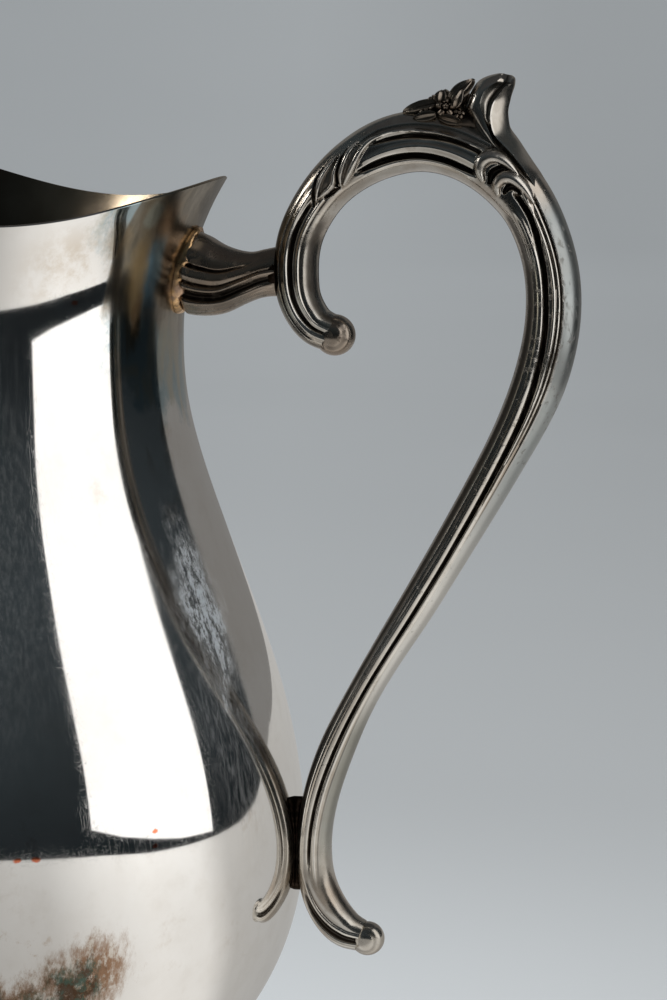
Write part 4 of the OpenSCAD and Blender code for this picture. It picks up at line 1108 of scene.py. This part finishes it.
def mat_solder(name="old_solder", gold=0.67, level=1.0):
    N = Nodes(name)
    b = N.bsdf
    b.inputs["Metallic"].default_value = 1.0
    n1 = N.noise(190, 5, 0.6)
    n2 = N.noise(520, 4, 0.6)
    base = N.mix(N.ramp(n1, gold - 0.18, gold), tuple(c * level for c in (0.70, 0.45, 0.23)), tuple(c * level for c in (0.31, 0.205, 0.125)))
    base = N.mix(N.math("MULTIPLY", N.ramp(n2, 0.5, 0.65), 0.6), base, (0.14, 0.10, 0.08))
    base = N.mix(N.math("MULTIPLY", N.ramp(N.noise(260, 3, 0.5, vec=N.mapping(loc=(4, 4, 4))), 0.56, 0.66), 0.22), base, tuple(c * level for c in (0.60, 0.45, 0.46)))
    N.put(b.inputs["Base Color"], base)
    N.put(b.inputs["Roughness"], N.ramp(n1, 0.3, 0.7, 0.18 if level > 0.5 else 0.45, 0.40 if level > 0.5 else 0.60))
    a1 = N.bump(n2, 0.4, 0.00016)
    N.put(b.inputs["Normal"], N.bump(n1, 0.5, 0.0003, a1))
    return N.m


M_BODY = mat_body()
M_STEM = mat_cast("cast_silver_patina", (0.585, 0.56, 0.515), (0.35, 0.31, 0.262), (0.070, 0.057, 0.045), 0.60, 0.16)
M_ARM = mat_cast("cast_silver_tarnished", (0.34, 0.30, 0.26), (0.19, 0.16, 0.13), (0.026, 0.021, 0.017), 0.75, 0.22)
M_KNOB = mat_cast("cast_silver_brown", (0.44, 0.39, 0.34), (0.27, 0.225, 0.185), (0.050, 0.040, 0.032), 0.7, 0.17)
M_SOLDER = mat_solder()
M_SOLDER_DARK = mat_solder("dark_solder", 0.30, 0.06)
for o in (body, foot):
    o.data.materials.append(M_BODY)
for o in (near_half, far_half, lower_knob, leaf):
    o.data.materials.append(M_STEM)
upper_knob.data.materials.append(M_KNOB)
for o in (arm, spray):
    o.data.materials.append(M_ARM)
for o in (foot_solder, collar):
    o.data.materials.append(M_SOLDER)
for o in (arm_solder, belly):
    o.data.materials.append(M_SOLDER_DARK)

# ------------------------------------------------------------------- stage


def glossy_only(o):
    o.visible_camera = False
    o.visible_diffuse = False
    o.visible_shadow = False
    o.visible_transmission = False
    o.visible_volume_scatter = False
    return o


def flat_mat(name, colour, emit=None, strength=1.0, rough=0.9):
    N = Nodes(name)
    if emit is None:
        N.bsdf.inputs["Base Color"].default_value = (*colour, 1)
        N.bsdf.inputs["Roughness"].default_value = rough
        N.bsdf.inputs["Specular IOR Level"].default_value = 0.1
    else:
        e = N.new("ShaderNodeEmission")
        e.inputs[0].default_value = (*emit, 1)
        e.inputs[1].default_value = strength
        N.t.links.new(e.outputs[0], N.out.inputs[0])
    return N.m


def sweep_mat():
    """Pale paper: mostly an even glow, with a painted pool of light towards the middle of the floor, painted shade
    towards both sides and a slightly brighter glow far out, plus soft shading.
    """
    N = Nodes("sweep_paper")
    N.bsdf.inputs["Base Color"].default_value = (0.36, 0.37, 0.375, 1)
    N.bsdf.inputs["Roughness"].default_value = 0.9
    N.bsdf.inputs["Specular IOR Level"].default_value = 0.0
    x, y, z = N.xyz()
    d = N.math("SQRT", N.math("ADD", N.math("MULTIPLY", x, x), N.math("MULTIPLY", y, y)))
    # painted light: the glow is pooled brighter round the object, and painted shade darkens it towards both sides
    painted_light_pool = N.math("MULTIPLY", N.ramp(d, 0.42, 0.0), 0.22)
    side = N.math("ADD", N.math("MULTIPLY", x, 0.98), N.math("MULTIPLY", y, 0.19))
    mid = N.math("MULTIPLY", N.math("ADD", N.ramp(side, 0.06, 0.30, soft=False), N.math("MULTIPLY", N.ramp(side, 0.06, -0.26, soft=False), 0.7)), -0.045)
    grain = N.math("MULTIPLY", N.math("SUBTRACT", N.noise(3.0, 2, 0.5), 0.5), 0.02)
    far = N.math("MULTIPLY", N.ramp(d, 0.9, 2.4), 0.052)
    lev = N.math("ADD", N.math("ADD", N.math("ADD", painted_light_pool, mid), far), N.math("ADD", grain, 0.207))
    N.bsdf.inputs["Emission Color"].default_value = (0.945, 1.0, 1.035, 1)
    N.put(N.bsdf.inputs["Emission Strength"], lev)
    geo = N.new("ShaderNodeNewGeometry")
    tr = N.new("ShaderNodeBsdfTransparent")
    mx = N.new("ShaderNodeMixShader")
    N.t.links.new(geo.outputs["Backfacing"], mx.inputs[0])
    N.t.links.new(N.bsdf.outputs[0], mx.inputs[1])
    N.t.links.new(tr.outputs[0], mx.inputs[2])
    N.t.links.new(mx.outputs[0], N.out.inputs[0])
    return N.m


def room_mat():
    """Dark studio, a little lighter and bluer high up."""
    N = Nodes("dark_room")
    e = N.new("ShaderNodeEmission")
    e.inputs[0].default_value = (0.80, 1.0, 1.12, 1)
    x, y, z = N.xyz()
    N.put(e.inputs[1], N.ramp(z, -0.1, 1.5, 0.013, 0.055, soft=False))
    N.t.links.new(e.outputs[0], N.out.inputs[0])
    return N.m


def card_mat(name, colour, level):
    """Glow set point by point on the card."""
    N = Nodes(name)
    e = N.new("ShaderNodeEmission")
    e.inputs[0].default_value = (*colour, 1)
    N.put(e.inputs[1], N.attr("glow"))
    N.t.links.new(e.outputs[0], N.out.inputs[0])
    return N.m


def stage_mesh(name, V, F, mat, smooth_it=True):
    me = bpy.data.meshes.new(name)
    me.from_pydata([tuple(v) for v in V], [], F)
    if smooth_it:
        me.shade_smooth()
    me.materials.append(mat)
    o = bpy.data.objects.new(name, me)
    bpy.context.scene.collection.objects.link(o)
    return o


# seamless round sweep: floor that curves up into a pale wall on every side
prof = [(0.0, 0.0)] + [(r, 0.0) for r in np.linspace(0.3, 2.6, 8)] + [(2.6 + 1.4 * math.sin(a), 1.4 - 1.4 * math.cos(a)) for a in np.linspace(0.12, math.pi / 2, 14)] + [(4.0, 2.4), (4.0, 4.2)]
seg = 96
V = [(r * math.cos(2 * math.pi * j / seg), r * math.sin(2 * math.pi * j / seg), z) for r, z in prof[1:] for j in range(seg)]
n = len(prof) - 1
F = grid_quads(n, seg, flip=True)
V.append((0, 0, 0))
F += fan(len(V) - 1, list(range(seg)))
sweep = stage_mesh("studio_sweep", V, F, sweep_mat())
sweep.visible_glossy = False


def polar_panel(name, az0, az1, r, z0, z1, mat, n=24):
    """Upright curved card between two azimuths, seen from the object; 0 is towards -Y, 90 towards +X."""
    V, F = [], []
    for k in range(n + 1):
        a = math.radians(az0 + (az1 - az0) * k / n)
        V += [(r * math.sin(a), -r * math.cos(a), z0), (r * math.sin(a), -r * math.cos(a), z1)]
    for k in range(n):
        F.append((2 * k, 2 * k + 1, 2 * k + 3, 2 * k + 2))
    return glossy_only(stage_mesh(name, V, F, mat, False))


DARK = room_mat()
SOFTBOX = flat_mat("softbox_face", None, (1.0, 0.99, 0.97), 1.3)
SOFT_LEFT = flat_mat("softbox_face_left", None, (1.0, 0.99, 0.97), 0.45)
GREY = flat_mat("backdrop_reflection", None, (0.205, 0.20, 0.192), 1.0)
polar_panel("refl_room", 0, 360, 1.8, -0.6, 2.4, DARK, 72)


def softbox_edge(az):
    return float(np.interp(az, [60, 70, 80, 90, 102], [103, 84, 72, 62, 56])) * MM


V, F = [], []
for k in range(25):
    az = 60.8 + (102.4 - 60.8) * k / 24
    a = math.radians(az)
    V += [(0.45 * math.sin(a), -0.45 * math.cos(a), softbox_edge(az)), (0.45 * math.sin(a), -0.45 * math.cos(a), 0.62)]
F = [(2 * k, 2 * k + 1, 2 * k + 3, 2 * k + 2) for k in range(24)]
glossy_only(stage_mesh("refl_softbox_right", V, F, SOFTBOX, False))
polar_panel("refl_softbox_left", 268, 296, 1.1, 0.05, 0.9, SOFT_LEFT)
polar_panel("refl_backdrop", 138, 228, 1.3, -0.4, 1.3, GREY)
glossy_only(stage_mesh("refl_ceiling", [(-2, -2, 2.4), (2, -2, 2.4), (2, 2, 2.4), (-2, 2, 2.4)], [(0, 1, 2, 3)], flat_mat("ceiling_reflection", None, (0.062, 0.064, 0.067), 1.0), False))

# small lamp, seen only in reflections, set to glint inside the mouth
a, e = math.radians(271), math.radians(27)
lamp = Vector((0.032, 0.048, 0.197)) + 1.0 * Vector((math.sin(a) * math.cos(e), -math.cos(a) * math.cos(e), math.sin(e)))
across = Vector((math.cos(a), math.sin(a), 0)) * 0.15
tall = Vector((0, 0, 0.05))
glossy_only(stage_mesh("refl_lamp", [lamp - across - tall, lamp + across - tall, lamp + across + tall, lamp - across + tall], [(0, 1, 2, 3)], flat_mat("lamp_face", None, (1.0, 0.97, 0.92), 10.0), False))

# white table paper, seen only as a reflection in the silver; a glowing card with painted light, brightest towards the
# key light on the right and towards its raised outer edge
TAB_AZ = [0, 35, 47, 62, 77, 91, 101, 113, 122, 128, 140, 180, 250, 320, 360]
TAB_Z = [80, 77, 73, 68, 60, 57, 56, 57, 63, 75, 90, 90, 80, 80, 80]
GLOW_AZ = [0, 30, 46, 60, 74, 92, 104, 120, 140, 200, 300, 360]
TABLE_GLOW_WITH_PAINTED_LIGHT = [.48, .53, .60, .90, 1.05, .98, .60, .54, .50, .50, .50, .50]
rings = [(0.0, 0.0), (0.06, 0.0), (0.12, 0.02), (0.20, 0.18), (0.28, 0.55), (0.35, 1.0)]
V, G, nseg = [], [], 144
for r, f in rings[1:]:
    for k in range(nseg):
        az = 360 * k / nseg
        a = math.radians(az)
        V.append((r * math.sin(a), -r * math.cos(a), 0.0004 + f * float(np.interp(az, TAB_AZ, TAB_Z)) * MM))
        # painted light: glow raised where the key light falls and towards the card's raised edge
        G.append(float(np.interp(az, GLOW_AZ, TABLE_GLOW_WITH_PAINTED_LIGHT)) * (0.82 + 0.18 * f))
V.append((0, 0, 0.0004))
G.append(0.5)
F = grid_quads(len(rings) - 1, nseg) + fan(len(V) - 1, list(range(nseg)))
table = glossy_only(stage_mesh("refl_table", V, F, card_mat("table_paper", (1.0, 0.985, 0.95), 1.0), False))
at = table.data.attributes.new("glow", "FLOAT", "POINT")
at.data.foreach_set("value", np.asarray(G, np.float32))
glossy_only(stage_mesh("refl_floor", [(-2, -2, -0.6), (2, -2, -0.6), (2, 2, -0.6), (-2, 2, -0.6)], [(0, 1, 2, 3)], DARK, False))


def area(name, az, el, dist, w, h, power, colour=(1, 1, 1), target=(0.02, 0, 0.11)):
    L = bpy.data.lights.new(name, "AREA")
    L.shape = "RECTANGLE"
    L.size, L.size_y = w, h
    L.energy = power
    L.color = colour
    o = bpy.data.objects.new(name, L)
    a, e = math.radians(az), math.radians(el)
    d = Vector((math.sin(a) * math.cos(e), -math.cos(a) * math.cos(e), math.sin(e)))
    o.location = Vector(target) + d * dist
    o.rotation_mode = "QUATERNION"
    o.rotation_quaternion = d.to_track_quat("Z", "Y")
    o.visible_camera = False
    o.visible_glossy = False
    bpy.context.scene.collection.objects.link(o)
    return o


area("key_right", 85, 28, 1.0, 0.8, 1.1, 5.5)
area("fill_left", 275, 40, 1.6, 1.0, 1.0, 3.5)
area("overhead", 180, 75, 1.9, 1.8, 1.8, 8)

world = bpy.data.worlds.new("studio_world")
bpy.context.scene.world = world
world.use_nodes = True
world.node_tree.nodes["Background"].inputs[0].default_value = (0.62, 0.64, 0.66, 1)
world.node_tree.nodes["Background"].inputs[1].default_value = 0.25

cam_data = bpy.data.cameras.new("camera")
cam_data.sensor_width = 36
cam_data.lens = 158.68
cam_data.clip_start, cam_data.clip_end = 0.05, 40
cam = bpy.data.objects.new("camera", cam_data)
bpy.context.scene.collection.objects.link(cam)
cam.location = (0.25628, -0.87598, 0.25731)
look = Vector((0.08601, 0.0, 0.14038)) - Vector(cam.location)
cam.rotation_mode = "QUATERNION"
cam.rotation_quaternion = look.to_track_quat("-Z", "Y")
bpy.context.scene.camera = cam
bpy.context.scene.view_settings.view_transform = "Standard"
bpy.context.scene.view_settings.look = "None"
